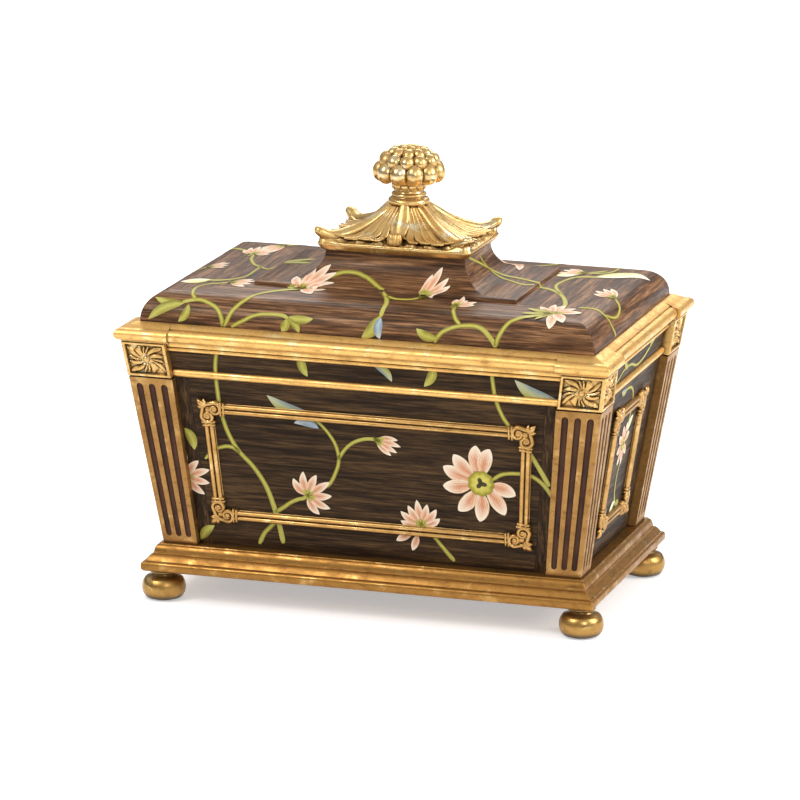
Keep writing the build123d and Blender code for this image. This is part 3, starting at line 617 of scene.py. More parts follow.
def lid_boards():
    """Domed lid board and the crown on it. Returns their skin, for the painter."""
    turns = [radians(90 * step / 16) for step in range(17)]
    backs = [OVOLO * (1 - cos(t)) for t in turns]
    spring = lid_board_foot + OVOLO_LIFT
    x, y = deck_high.x, deck_high.y
    rows = [(x, y, lid_board_foot)]
    rows += [(x - back, y - back, spring + OVOLO * sin(t)) for back, t in zip(backs, turns)]
    x, y = crown_high.x, crown_high.y
    deck = lid_board("deck", rows + [(x, y, crown_foot)], DECK_CORNER, 0.2, False)

    cove_x, cove_y, cove_foot = x - COVE_RUN_X, y - COVE_RUN_Y, crown_foot + COVE_LIFT
    rows = [(x - back_x, y - back_y, crown_foot + rise) for back_x, back_y, rise in CROWN_RISER]
    for t in turns:
        back = COVE * sin(t)
        rows.append((cove_x - back, cove_y - back, cove_foot + COVE * (1 - cos(t))))
    return Skin(deck, lid_board("crown", rows, CROWN_CORNER, 0.3, True))


# Leaning walls

OUT = {
    "front": Vector((0, -1, 0)),
    "right": Vector((1, 0, 0)),
    "back": Vector((0, 1, 0)),
    "left": Vector((-1, 0, 0)),
}
ALONG = {side: UP.cross(out) for side, out in OUT.items()}

FLUTES = (-0.285, 0.0, 0.285)   # places over the width of a pilaster
FLUTE_RADII = (1.95, 2.3)       # at the foot and at the top
FLUTE_MARGINS = (5.0, 4.0)
FLUTE_DEPTH = 0.9               # as a share of the radius
NO_FLUTE = 0.02                 # radius where the face is flat
ARRIS = 0.12                    # chamfer on the corner of the case

ROSETTE_RIM = 2.3
ROSETTE_PETALS = 14
ROSETTE_EYE, ROSETTE_BEAD = 3.6, 2.1
ROSETTE_GRID = (64, 52)


def on_wall(side, inset=0.0):
    """Map of a leaning wall: run along the side, height, and lift off the face."""
    lean = leans[side]
    size = hypot(1, lean)

    def place(run, z, lift=0.0):
        reach = wall(side, z, inset) + lift / size
        return ALONG[side] * run + OUT[side] * reach + Vector((0, 0, z - lift * lean / size))

    return place


def wall_normal(side):
    return (OUT[side] - UP * leans[side]).normalized()


def pilaster_width(z):
    share = (z - wall_foot) / (pilaster_top - wall_foot)
    return PILASTER_FOOT_WIDTH + share * (PILASTER_TOP_WIDTH - PILASTER_FOOT_WIDTH)


def corner_legs(corner):
    """The two sides that a corner shows on, each with its hand along that side."""
    sx = 1 if "right" in corner else -1
    hand = sx if "front" in corner else -sx
    return [("front" if "front" in corner else "back", hand), ("right" if sx > 0 else "left", -hand)]


def leg_cap(shape, side, hand, z, width):
    """Level face that closes one leg of a corner piece. The legs of the ends stop at the other leg."""
    inset = 0 if side in long_sides else PANEL_RECESS
    runs = [hand * (wall(across[side], z) - width), hand * wall(across[side], z, inset)]
    rows = [[on_wall(side, depth)(run, z) for run in runs] for depth in (0, PANEL_RECESS)]
    shape.grid(rows, flip=(hand < 0) != (z in (wall_foot, block_foot)))


def flute_rows():
    """Heights up a pilaster, each with the radius that its flutes have there."""
    foot_r, top_r = FLUTE_RADII
    low, high = wall_foot + FLUTE_MARGINS[0], pilaster_top - FLUTE_MARGINS[1]
    turns = [radians(a) for a in (0, 18, 38, 60, 90)]
    rows = [(wall_foot, NO_FLUTE), (low - 1, NO_FLUTE)]
    rows += [(low + foot_r * (1 - cos(t)), max(foot_r * sin(t), NO_FLUTE)) for t in turns]
    rows += [(low + (high - low) * s, foot_r + (top_r - foot_r) * s) for s in (0.25, 0.5, 0.75)]
    rows += [(high - top_r * (1 - cos(t)), max(top_r * sin(t), NO_FLUTE)) for t in turns[::-1]]
    return rows + [(high + 1, NO_FLUTE), (pilaster_top, NO_FLUTE)]


def pilaster(corner):
    """Corner pilaster with three round flutes on each outer face, dark inside."""
    shape = Shape()
    for side, hand in corner_legs(corner):
        face = on_wall(side)
        rows, marks = [], []
        for z, radius in flute_rows():
            width = pilaster_width(z)
            edge = wall(across[side], z)
            spots = [(edge - width, -PANEL_RECESS, 0.0, 0.0), (edge - width, 0.0, 0.0, 1.0)]
            for place in FLUTES:
                middle = width * (0.5 - place)
                for t in [pi * k / 8 for k in range(9)]:
                    depth = radius * sin(t) * FLUTE_DEPTH
                    dark = min(depth / 0.7, 1.0) if radius > 0.5 else 0.0
                    raised = 1.0 if depth < 0.1 else 0.0
                    spots.append((edge - middle - radius * cos(t), -depth, dark, raised))
            spots += [(edge - 0.5, 0.0, 0.0, 1.0), (edge - ARRIS, -ARRIS, 0.0, 1.0)]
            rows.append([face(hand * run, z, lift) for run, lift, _, _ in spots])
            marks.append([spot[2:] for spot in spots])
        shape.grid(rows, marks=marks, flip=hand < 0)
        for z in (wall_foot, pilaster_top):
            leg_cap(shape, side, hand, z, pilaster_width(z))
    shape.build(f"pilaster_{corner}_fluted", FLUTED, "case", [f"pilaster_{corner}"], smooth=50)


def rosette_height(u, v, half_u, half_v):
    """Relief of a framed rosette at a point of its tile, over the face of the block."""
    edge = min(half_u - abs(u), half_v - abs(v))
    if edge < ROSETTE_RIM:
        share = (edge - ROSETTE_RIM * 0.5) / (ROSETTE_RIM * 0.5)
        return 0.6 * sqrt(max(1 - share * share, 0)) - (0.4 if edge < 0.25 else 0)
    reach, turn = hypot(u, v), atan2(v, u)
    if reach < ROSETTE_BEAD:
        return -0.7 + 1.5 * sqrt(1 - (reach / ROSETTE_BEAD) ** 2)
    if reach < ROSETTE_EYE:
        return -1.5 + 0.5 * (reach / ROSETTE_EYE)
    limit_u = (half_u - ROSETTE_RIM) / max(abs(cos(turn)), 1e-6)
    limit_v = (half_v - ROSETTE_RIM) / max(abs(sin(turn)), 1e-6)
    share = reach / min(limit_u, limit_v)
    swirl = turn + 0.5 * (1 - share) + 0.12 * sin(4 * turn)
    swing = abs((swirl / (2 * pi) * ROSETTE_PETALS) % 1 - 0.5) * 2
    ridge = max(1 - (swing / max(1 - share**5, 0.05)) ** 2, 0) ** 0.5
    bow = 0.5 + 0.8 * sin(min(share, 1) * pi * 0.92)
    vein = 0.45 * exp(-(((swing - 0.1) / 0.12) ** 2)) if 0.25 < share < 0.9 else 0
    return -2.0 + 2.1 * ridge * bow * (0.85 + 0.15 * cos(2 * swirl + 1)) - vein


def rosette_block(corner):
    """Corner block with a carved sunburst in a rounded frame on each outer face."""
    shape = Shape()
    columns, levels = ROSETTE_GRID
    middle_z, half_v = (block_foot + rim) / 2, (rim - block_foot) / 2
    half_u = BLOCK_WIDTH / 2
    for side, hand in corner_legs(corner):
        face = on_wall(side)
        rows, marks = [], []
        for level in range(levels + 1):
            v = half_v * (2 * level / levels - 1)
            z = middle_z + v
            centre = wall(across[side], z) - half_u
            runs = [half_u * (2 * column / columns - 1) for column in range(columns + 1)]
            relief = [rosette_height(u, v, half_u, half_v) for u in runs]
            row = [face(hand * (centre + u), z, height) for u, height in zip(runs, relief)]
            rows.append([face(hand * (centre - half_u), z, -PANEL_RECESS)] + row)
            marks.append([(0.0, 0.0)] + [(0.0, 1.0 if height > 0.1 else 0.0) for height in relief])
        shape.grid(rows, marks=marks, flip=hand < 0)
        for z in (block_foot, rim):
            leg_cap(shape, side, hand, z, BLOCK_WIDTH)
    shape.build(f"rosette_{corner}", CARVED, "case", [f"rosette_block_{corner}"], smooth=60)


# Trim on the walls

BEAD_RADIUS = 2.6
FRAME_MARGINS = {"front": (18.0, 20.0), "right": (30.0, 36.0)}     # foot and top, from the pilasters
FRAME_FOOT_RISE = 22.5
FRAME_TOP_DROP = 19.0
REED_OFFSET = 1.75              # of each reed from the middle of its bar
REED_HALVES = (1.65, 1.9)       # half width and half height
REED_LIFT = 1.1
BED_HALVES = (3.6, 0.8)
BED_LIFT = 0.35
COLLARS = ((0.2, 4.1), (2.2, 3.7))      # place along the bar and half length
COLLAR_HALVES = (1.1, 2.3)
COLLAR_LIFT = 1.2
SCROLL_OFFSET = 5.4
SCROLL_RADIUS = 4.4
SCROLL_TURNS = 2.1              # half turns of the strand in a volute
SCROLL_EYE = 2.2
SCROLL_RISE = 2.1               # of the disc under an eye
STRAND = (1.6, 1.1)             # half width at the elbow, and in the eye
SCROLL_RAYS = ((0, 6.6, 2.1), (0.7, 5.0, 1.6), (-0.7, 5.0, 1.6))        # turn, length and half width


def trims():
    """Waist beads between the blocks, half sunk in the panels, and the fillets under the lid."""
    waist_z = pilaster_top + WAIST_RISE
    for side in sides:
        place = on_wall(side, PANEL_RECESS)
        bead = Shape()
        half_run = wall(across[side], waist_z, BLOCK_WIDTH + 0.3)
        path = [place(run, waist_z) for run in (-half_run, 0, half_run)]
        bead.tube(path, [BEAD_RADIUS] * 3, [BEAD_RADIUS] * 3, wall_normal(side), 14, round_ends=False)
        bead.build(f"waist_{side}", EDGE_GOLD, "case", [f"waist_bead_{side}"], smooth=50)
        if side != "back":
            strip = Shape()
            run = wall(across[side], rim, BLOCK_WIDTH + 0.6)
            section = [(0, rim - 5.6), (0.8, rim - 5.5)] + arc((0.9, rim - 4.1), 1.5, -80, 80, 6)
            section += [(1.2, rim - 2.5), (2.0, rim - 2.2), (2.0, rim), (0, rim)]
            rows = [[place(end, z, lift) for lift, z in section] for end in (-run, run)]
            strip.grid(rows, wrap=True, ends=True, flip=True)
            strip.build(f"rim_{side}", EDGE_GOLD, "case", [f"rim_fillet_{side}"], bevel=0.1)


def frame_spots(side):
    """Corners of a frame's centre line as run and height, anticlockwise from the lower left."""
    foot_margin, top_margin = FRAME_MARGINS["front" if side in long_sides else "right"]
    low, high = wall_foot + FRAME_FOOT_RISE, pilaster_top - FRAME_TOP_DROP
    foot = wall(across[side], low, pilaster_width(low) + foot_margin)
    top = wall(across[side], high, pilaster_width(high) + top_margin)
    return [Vector((-foot, low)), Vector((foot, low)), Vector((top, high)), Vector((-top, high))]


def frame_bars(side):
    """Double-reed bars with small collars near their ends."""
    place, up = on_wall(side, PANEL_RECESS), wall_normal(side)
    spots = frame_spots(side)
    shape = Shape()
    for start, end in zip(spots, spots[1:] + spots[:1]):
        along = (end - start).normalized()
        aside = Vector((-along.y, along.x))
        first = start + along * (SCROLL_OFFSET + SCROLL_RADIUS - 0.4)
        last = end - along * (SCROLL_OFFSET + SCROLL_RADIUS - 0.4)
        for offset in (-REED_OFFSET, REED_OFFSET):
            path = [place(*(spot + aside * offset), REED_LIFT) for spot in (first, last)]
            shape.tube(path, [REED_HALVES[0]] * 2, [REED_HALVES[1]] * 2, up, 12)
        path = [place(*spot, BED_LIFT) for spot in (first, last)]
        shape.tube(path, [BED_HALVES[0]] * 2, [BED_HALVES[1]] * 2, up, 12, round_ends=False)
        for spot, away in ((first, 1), (last, -1)):
            for step, size in COLLARS:
                middle = spot + along * (away * step)
                path = [place(*(middle + aside * s), COLLAR_LIFT) for s in (-size, 0, size)]
                shape.tube(path, [COLLAR_HALVES[0]] * 3, [COLLAR_HALVES[1]] * 3, up, 10)
    shape.build(f"frame_{side}_reeds", FRAME_GOLD, "case", [f"frame_bars_{side}"], smooth=60)


def frame_scrolls(side):
    """Corners of a frame: a strand that curls into a volute at both ends, and a three-lobed leaf."""
    place, up = on_wall(side, PANEL_RECESS), wall_normal(side)
    spots = frame_spots(side)
    shape = Shape()
    for index, spot in enumerate(spots):
        to_next = (spots[(index + 1) % 4] - spot).normalized()
        to_last = (spots[index - 1] - spot).normalized()
        away = -(to_next + to_last).normalized()
        volutes = []
        for ahead, aside in ((to_next, to_last), (to_last, to_next)):
            eye = spot + ahead * SCROLL_OFFSET
            path = []
            for share in [step / 24 for step in range(25)]:
                turn = SCROLL_TURNS * pi * share
                reach = SCROLL_RADIUS * (1 - 0.62 * share)
                curl = eye + (ahead * sin(turn) - aside * cos(turn)) * reach
                path.append((curl, STRAND[0] - (STRAND[0] - STRAND[1]) * share, share))
            volutes.append(path)
            shape.ball(place(*eye, SCROLL_RISE), [SCROLL_EYE] * 3, up)
            ends = [place(*eye, lift) for lift in (0, SCROLL_RISE)]
            disc = [SCROLL_RADIUS - 0.3] * 2
            shape.tube(ends, disc, disc, ALONG[side], 20, round_ends=False)
        elbow = [(spot + away * SCROLL_RADIUS * 0.78, STRAND[0], 0)]
        strand = volutes[0][::-1] + elbow + volutes[1]
        path = [place(*point, 1.5 + 0.9 * share) for point, _, share in strand]
        sizes = [size for _, size, _ in strand]
        shape.tube(path, sizes, [size * 1.25 for size in sizes], up)
        shape.ball(place(*(spot - away * 1.2), 1.4), (2.6, 2.6, 1.9), up)
        root = spot + away * SCROLL_RADIUS * 0.4
        for turn, length, width in SCROLL_RAYS:
            ray = Vector((away.x * cos(turn) - away.y * sin(turn), away.x * sin(turn) + away.y * cos(turn)))
            shares = (0, 0.3, 0.6, 0.85, 1.0)
            path = [place(*(root + ray * (length * s)), 1.2 + 1.4 * sin(s * pi * 0.8)) for s in shares]
            widths = [width * share for share in (0.7, 1.0, 1.0, 0.8, 0.4)]
            heights = [width * share for share in (0.7, 0.9, 0.9, 0.7, 0.4)]
            shape.tube(path, widths, heights, up)
    shape.build(f"frame_{side}_curls", FRAME_GOLD, "case", [f"frame_scrolls_{side}"], smooth=60)


# Finial and feet

NECK = 12.8                     # radius at the top of the mount
NECK_RISE = collar_low.z + 2.2 - crown_top
LIP = Vector((mount_high.x, mount_high.y)) * 0.925
LIP_HEIGHT = 6.4
LIP_DIP = 0.8
LIP_PROFILE = ((1.0, 5.7), (1.014, 5.0), (1.014, 3.9), (1.0, 2.6), (0.98, 1.4), (0.96, 0.5), (0.95, 0.0))
CORNER_LIFT = 8.0
MOUNT_COLUMNS = {"front": 112, "back": 112, "right": 84, "left": 84}
MOUNT_LEVELS = 64

# Leaves on each half of a face: place over the half, half width, and where the leaf ends
LEAVES = ((0.15, 2.4, 0.74), (0.3, 3.2, 0.95), (0.47, 3.4, 0.92), (0.64, 3.5, 0.96), (0.8, 2.8, 0.93))
LEAF_TAPER = (0.4, 0.5, 0.7, 0.9, 1.0, 1.0, 0.95, 0.75, 0.35)

# Ribs on the hips of the mount: share of the way out, rise over the crown, and half width
HIPS = (
    (0.0, 27.4, 3.6), (0.14, 22.6, 4.4), (0.32, 16.6, 5.0), (0.52, 12.0, 5.2),
    (0.7, 9.6, 5.4), (0.84, 9.2, 5.6), (0.94, 10.6, 5.4), (1.0, 12.4, 4.4),
)

# Rings of berries: count, reach, height, half width, half length, lean in degrees, and start of the ring
BERRIES = (
    (11, 18.4, 11.8, 6.2, 7.2, 8, 0.1),
    (11, 15.2, 19.2, 5.2, 5.6, 40, 0.6),
    (9, 10.2, 23.6, 4.2, 5.0, 62, 0.1),
    (5, 4.8, 25.9, 3.2, 3.6, 78, 0.3),
    (1, 0.0, 26.4, 2.7, 2.7, 0, 0.0),
)
KNOB_CORE = ((10.0, 0), (10.8, 3.5), (14.5, 6), (18.6, 10), (17.4, 16), (13, 22), (7, 25.5), (1, 26.6))
FOOT_RADIUS = 14.8


def mount_rise(share, down):
    """Height of one face over the crown before carving: hollow, with corners that turn up."""
    corner = CORNER_LIFT * exp(-(((1 - abs(share)) / 0.15) ** 2)) * down**3
    return LIP_HEIGHT - LIP_DIP + (NECK_RISE - LIP_HEIGHT + LIP_DIP) * (1 - down) ** 2 + corner


def mount_relief(share, down):
    """Acanthus folds on one face: share runs from -1 to 1 along the lip, down from the neck."""
    sweep = share * (1 + 0.35 * sin(pi * down))
    swell = sin(pi * min(down / 1.05, 1)) ** 0.6 if down > 0 else 0
    fold = cos(7 * pi * sweep) + 0.4 * cos(19 * pi * sweep + 1)
    edge = 0.95 + 0.03 * cos(16 * pi * share)
    curl = 1.1 * exp(-(((down - edge + 0.05) / 0.05) ** 2))
    return (1.25 * swell * fold + curl) * (1 - min(max((down - edge) / 0.02, 0), 1))


def mount_lip(side, share):
    """Place on the outline of the mount's lip, a little rounded at the corners."""
    half, reach = (LIP.x, LIP.y) if side in long_sides else (LIP.y, LIP.x)
    lip = OUT[side] * reach + ALONG[side] * (half * share)
    return lip * (1 - 0.025 * exp(-(((1 - abs(share)) / 0.05) ** 2)))


def mount_spot(side, share, down, lift=0.0):
    """Place on the face of one side of the mount, before its carving."""
    lip = mount_lip(side, share)
    spot = (lip.normalized() * NECK).lerp(lip * 0.985, down)
    return spot + UP * (crown_top + mount_rise(share, down) + lift)


def mount_faces(shape):
    """Carved faces from the neck to the lip, and the moulded lip down to the crown."""
    edges = [(side, 2 * k / MOUNT_COLUMNS[side] - 1) for side in sides for k in range(MOUNT_COLUMNS[side])]
    rows, marks = [], []
    for down in [level / MOUNT_LEVELS for level in range(MOUNT_LEVELS + 1)]:
        rows.append([mount_spot(side, share, down, mount_relief(share, down)) for side, share in edges])
        marks.append([(0.0, 0.0)] * len(edges))
    for size, rise in LIP_PROFILE:
        rows.append([mount_lip(side, share) * size + UP * (crown_top + rise) for side, share in edges])
        marks.append([(0.0, 1.0)] * len(edges))
    shape.grid(rows, wrap=True, marks=marks, ends=True, flip=True)


def mount_hips(shape):
    """Rounded ribs from the neck to the upturned corners."""
    for sx, sy in QUARTERS:
        tip = Vector((sx * LIP.x, sy * LIP.y)) * 0.97
        neck = tip.normalized() * (NECK - 0.6)
        line = smooth_path([(*neck.lerp(tip, share), crown_top + rise) for share, rise, _ in HIPS], 2)
        sizes = smooth_path([(width, 0, 0) for _, _, width in HIPS], 0.01)
        sizes = [sizes[round(k * (len(sizes) - 1) / (len(line) - 1))].x for k in range(len(line))]
        shape.tube(line, sizes, [size * 0.75 for size in sizes], UP, 18)


def mount_leaf(shape, side, place, width, end):
    """Folded leaf that runs down a face and lifts at its tip."""
    line = []
    for t in [k / 8 for k in range(9)]:
        share = abs(place) * (0.7 + 0.34 * t) + 0.05 * sin(2 * pi * t)
        lift = 0.6 + 0.9 * sin(pi * t) + 2.6 * t**6
        line.append(mount_spot(side, share if place > 0 else -share, 0.03 + (end - 0.03) * t, lift))
    shape.tube(line, [width * w for w in LEAF_TAPER], [width * w * 0.55 for w in LEAF_TAPER], UP, 12)


def mount():
    """Square acanthus mount: leaves spread from the neck to a moulded lip with upturned corners."""
    shape = Shape()
    mount_faces(shape)
    mount_hips(shape)
    for side in sides:
        for hand in (-1, 1):
            for place, width, end in LEAVES:
                mount_leaf(shape, side, hand * place, width, end)
        strap = [mount_spot(side, 0.04, down, 0.9) for down in (0.02, 0.15, 0.3, 0.45, 0.6, 0.7)]
        shape.tube(strap, [3.4, 4.2, 4.8, 4.8, 3.8, 2.4], [1.8, 2.0, 2.2, 2.2, 2.0, 1.6], UP, 16)
        if side in long_sides:
            seat = mount_spot(side, 0.0, 0.87, 3.6)
            for turn in round_turns(9):
                spot = seat + ALONG[side] * (2.9 * cos(turn)) + OUT[side] * (2.4 * sin(turn))
                shape.ball(spot, (2.2, 2.2, 4.4), UP, 14, 10)
        else:
            shares = (0, 0.25, 0.5, 0.75, 1)
            curl = [mount_spot(side, 0.0, 0.45 + 0.45 * t, 1.4 + 2.4 * t**4) for t in shares]
            shape.tube(curl, [1.6, 3.6, 4.4, 3.4, 1.4], [0.9, 1.5, 1.8, 1.6, 1.0], UP, 14)
    shape.build("acanthus_mount", CAST, "lid", ["finial_mount"], smooth=70)


def collar():
    """Turned neck under the knob: a bead, a hollow and a ring."""
    foot = collar_low.z
    profile = [(12.2, foot), (12.9, foot + 2.2)]
    profile += [(11.6 + r, z) for r, z in arc((0, foot + 4.7), 2.4, -75, 75, 10)]
    profile += [(11.5, foot + 7.3), (11.2, foot + 8.0)]
    profile += [(10.7 + r, z) for r, z in arc((0, foot + 9.2), 1.15, -70, 80, 8)]
    profile += [(10.5, foot + 10.6), (10.1, foot + 11.8), (10.0, collar_high.z)]
    shape = Shape()
    shape.lathe(profile, count=72)
    shape.build("ringed_collar", CAST, "lid", ["finial_collar"], smooth=50)


def berry_knob():
    """Knob of egg-shaped berries in rings round a core, over a ring of small lobes."""
    shape = Shape()
    foot = collar_high.z
    shape.lathe([(radius, foot + rise) for radius, rise in KNOB_CORE], count=40)
    for count, reach, height, width, length, lean, start in BERRIES:
        for index in range(count):
            turn = 2 * pi * (index + start) / count
            out = Vector((cos(turn), sin(turn), 0))
            axis = out * -sin(radians(lean)) + UP * cos(radians(lean))
            shape.ball(out * reach + UP * (foot + height), (width, width, length), axis, 24, 16)
    for turn in round_turns(12):
        shape.ball((9.2 * cos(turn), 9.2 * sin(turn), foot + 2.6), (2.9, 2.9, 3.4))
    shape.build("berry_finial", CAST, "lid", ["finial_knob"], smooth=60)


def feet():
    """Turned bun feet under a neck and a ring."""
    shape = Shape()
    profile = [(0.4, 0), (8.2, 0), (9.4, 0.5)]
    turns = [pi * k / 18 for k in range(3, 16)]
    profile += [(FOOT_RADIUS - 5.6 * (1 - sin(t)), 8.2 - 7.9 * cos(t)) for t in turns]
    profile += [(9.0, 16.0), (8.2, 16.8), (8.0, 17.6), (8.8, 18.2), (9.6, 18.8), (9.6, 20.2)]
    profile.append((9.0, board_low.z))
    for sx, sy in QUARTERS:
        shape.lathe(profile, (sx * (foot_high.x - FOOT_RADIUS), sy * (foot_high.y - FOOT_RADIUS)), 56)
    shape.build("turned_feet", FEET, "case", ["bun_feet"], smooth=45)


# Linings and fixings

FELT_EDGE = 0.8
SCREW_HEAD = ((2.5, -0.2), (2.3, 0.02), (0.6, 0.04), (0.5, -0.1))       # radius, and rise over the leaf
SCREW_SPREAD = 17
SCREW_INSET = 6


def felt_panel(name, body, node):
    """Board with rounded edges under felt, with its own fabric material."""
    low, high = span(node)
    levels = ((low.z, FELT_EDGE), (low.z + FELT_EDGE, 0), (high.z - FELT_EDGE, 0), (high.z, FELT_EDGE))
    loops = [rectangle_loop(high.x - back, high.y - back, z, 3) for z, back in levels]
    shape = Shape()
    shape.grid(loops, wrap=True, ends=True)
    piece = shape.build(name, FELT, body, [node], smooth=60)


def screws():
    """Countersunk screw heads on the hinge leaves, facing up on the case and down on the lid."""
    profiles = {
        "case": [(radius, rim + rise) for radius, rise in SCREW_HEAD],
        "lid": [(radius, lid_foot - rise) for radius, rise in SCREW_HEAD[::-1]],
    }
    for body, profile in profiles.items():
        shape = Shape()
        for hand in ("left", "right"):
            low, high = span(f"hinge_{hand}_case_leaf")
            for spread in (-SCREW_SPREAD, 0, SCREW_SPREAD):
                shape.lathe(profile, ((low.x + high.x) / 2 + spread, low.y + SCREW_INSET), 20)
        shape.build(f"hinge_screws_{body}", BRASS, body)


# Painted decoration

PAINT_LIFT = 0.18               # of the thinnest layer of paint off the wood
STROKE_STEP = 0.7               # between the points of a stem
PETAL_STEPS = 24
LID_STRETCH = 1.9               # of the paint on level wood, away from the viewer
EYE_TURNS = round_turns(36)

# Rings of a blossom's eye: size, depth and number of its lobes, paint, and lift
EYE_RINGS = ((1.0, 0.04, 9, "eye", 0.42), (0.72, 0.1, 9, "eye_ring", 0.48), (0.34, 0.4, 3, "eye_dark", 0.54))


class Skin:
    """Surface of some shapes, for laying paint on."""

    def __init__(self, *shapes):
        points, faces = [], []
        for shape in shapes:
            start = len(points)
            points += [Vector(point) for point in shape.points]
            faces += [tuple(index + start for index in face) for face in shape.faces]
        self.tree = BVHTree.FromPolygons(points, faces)

    def near(self, point):
        """Nearest place on the surface, and the normal there."""
        return self.tree.find_nearest(Vector(point))[:2]

    def lay(self, point, lift):
        """Nearest place on the surface, lifted off it."""
        spot, normal = self.near(point)
        return spot + normal * lift

    def frame(self, point, heading):
        """Nearest place on the surface, and the two directions that paint is drawn in."""
        spot, normal = self.near(point)
        along = (heading - normal * heading.dot(normal)).normalized()
        return spot, along, normal.cross(along)


class Painter:
    """Draws vines, leaves and blossoms on one skin. Each kind of paint collects in its own shape."""

    def __init__(self, skin, heading, place=lambda *point: Vector(point), stretch=1.0):
        self.skin = skin
        self.heading = heading
        self.place = place
        self.stretch = stretch
        self.layers = {}
        self.leaf_count = 0

    def reach(self, direction, normal):
        """Direction made longer away from the viewer on level wood, as it was painted to be seen."""
        away = UP.cross(self.heading)
        level = max(normal.z, 0) ** 4
        return direction + away * (direction.dot(away) * (self.stretch - 1) * level)

    def layer(self, paint):
        return self.layers.setdefault(paint, Shape())

    def strip(self, paint, spine, halves, lift, columns=4):
        """Flat shape along a line on the surface, with a half width at each of its points."""
        shares = [2 * k / columns - 1 for k in range(columns + 1)]
        last = len(spine) - 1
        rows, marks = [], []
        for index, point in enumerate(spine):
            ahead = spine[min(index + 1, last)] - spine[max(index - 1, 0)]
            _, along, rise = self.skin.frame(point, self.heading)
            normal = along.cross(rise)
            aside = self.reach(normal.cross(ahead).normalized(), normal)
            rows.append([self.skin.lay(point + aside * (halves[index] * s), lift) for s in shares])
            marks.append([((s + 1) / 2, index / last) for s in shares])
        self.layer(paint).grid(rows, marks=marks, flip=True)

    def stems(self, *stems):
        """Stems, each given by its width at the start and at the end, and the points it runs through."""
        for start, end, *points in stems:
            spine = smooth_path([self.place(*point) for point in points], STROKE_STEP)
            last = len(spine) - 1
            halves = []
            for k in range(last + 1):
                tip = min(1, 0.55 + 0.13 * min(k, last - k))
                halves.append((start + (end - start) * k / last) / 2 * tip)
            self.strip("stem", spine, halves, PAINT_LIFT)

    def blade(self, paint, spine, width, bend, lift, rise=0.8, fall=0.9):
        """Pointed leaf or petal along a line of points, bent to one side by a share of its length."""
        last = len(spine) - 1
        aside = self.skin.near(spine[last // 2])[1].cross(spine[last] - spine[0])
        spine = [point + aside * (bend * sin(pi * k / last)) for k, point in enumerate(spine)]
        peak = rise / (rise + fall)
        top = peak**rise * (1 - peak) ** fall
        shares = [max((k / last) ** rise * (1 - k / last) ** fall / top, 0.03) for k in range(last + 1)]
        self.strip(paint, spine, [width / 2 * share for share in shares], lift, 6)

    def leaves(self, *leaves):
        """Leaves between two places. Each one lies a little higher than the one before it."""
        for paint, root, tip, width, bend in leaves:
            root, tip = self.place(*root), self.place(*tip)
            self.leaf_count = (self.leaf_count + 1) % 6
            spine = [root.lerp(tip, k / 16) for k in range(17)]
            self.blade(paint, spine, width, bend, 0.2 + 0.02 * self.leaf_count)

    def petal(self, paint, centre, turn, near, far, width, bend=0.0, lift=0.25, rise=0.7, fall=0.8):
        """Petal that starts near a centre and climbs over whatever surface is in its way."""
        spot, along, up = self.skin.frame(centre, self.heading)
        normal = along.cross(up)
        ray = along * cos(radians(turn)) + up * sin(radians(turn))
        spot = spot + self.reach(ray, normal) * near
        spine = [spot]
        for _ in range(PETAL_STEPS):
            step = self.reach(ray, normal) * ((far - near) / PETAL_STEPS)
            spot, turned = self.skin.near(spot + step + normal * 0.3)
            ray = normal.rotation_difference(turned) @ ray
            normal = turned
            spine.append(spot)
        self.blade(paint, spine, width, bend, lift, rise, fall)

    def open_blossom(self, centre, petals, radius, eye):
        """Blossom seen from the front: petals as turn and share of the radius, round an eye."""
        centre = self.place(*centre)
        for index, (turn, share) in enumerate(petals):
            length, width, lift = radius * share, radius * 0.37, 0.24 + 0.05 * (index % 3)
            self.petal("petal", centre, turn, eye * 0.6, length, width, 0.06, lift, 0.85, 0.72)
        spot, along, up = self.skin.frame(centre, self.heading)
        for size, depth, lobes, paint, lift in EYE_RINGS:
            rows = []
            for s in (0.02, 0.5, 1.0):
                reaches = [eye * size * s * (1 + depth * cos(lobes * t + 0.6)) for t in EYE_TURNS]
                offsets = [(along * cos(t) + up * sin(t)) * reach for t, reach in zip(EYE_TURNS, reaches)]
                rows.append([self.skin.lay(spot + offset, lift) for offset in offsets])
            marks = [[(s, t / (2 * pi)) for t in EYE_TURNS] for s in (0.0, 0.5, 1.0)]
            self.layer(paint).grid(rows, wrap=True, marks=marks, flip=True)

    def side_blossom(self, base, facing, size, petals=7, spread=150, sepals=3):
        """Half-open blossom seen from the side: petals fan out round its facing, sepals behind."""
        base = self.place(*base)
        for index in range(petals):
            share = 2 * index / (petals - 1) - 1
            length = size * (1 - 0.14 * abs(share) + 0.08 * (index % 2))
            lift = 0.24 + 0.05 * ((index * 2) % 3)
            turn = facing + share * spread / 2
            self.petal("petal", base, turn, size * 0.06, length, size * 0.32, 0.12 * share, lift)
        for index in range(sepals):
            share = 2 * index / (sepals - 1) - 1
            length = size * (0.4 - 0.1 * abs(share))
            turn = facing + 180 + share * 75
            self.petal("green", base, turn, -size * 0.16, length, size * 0.18, 0.1 * share, 0.42)
        for share in (-0.55, 0, 0.55):
            self.petal("green", base, facing + share * 90, -size * 0.1, size * 0.34, size * 0.14, 0, 0.45)

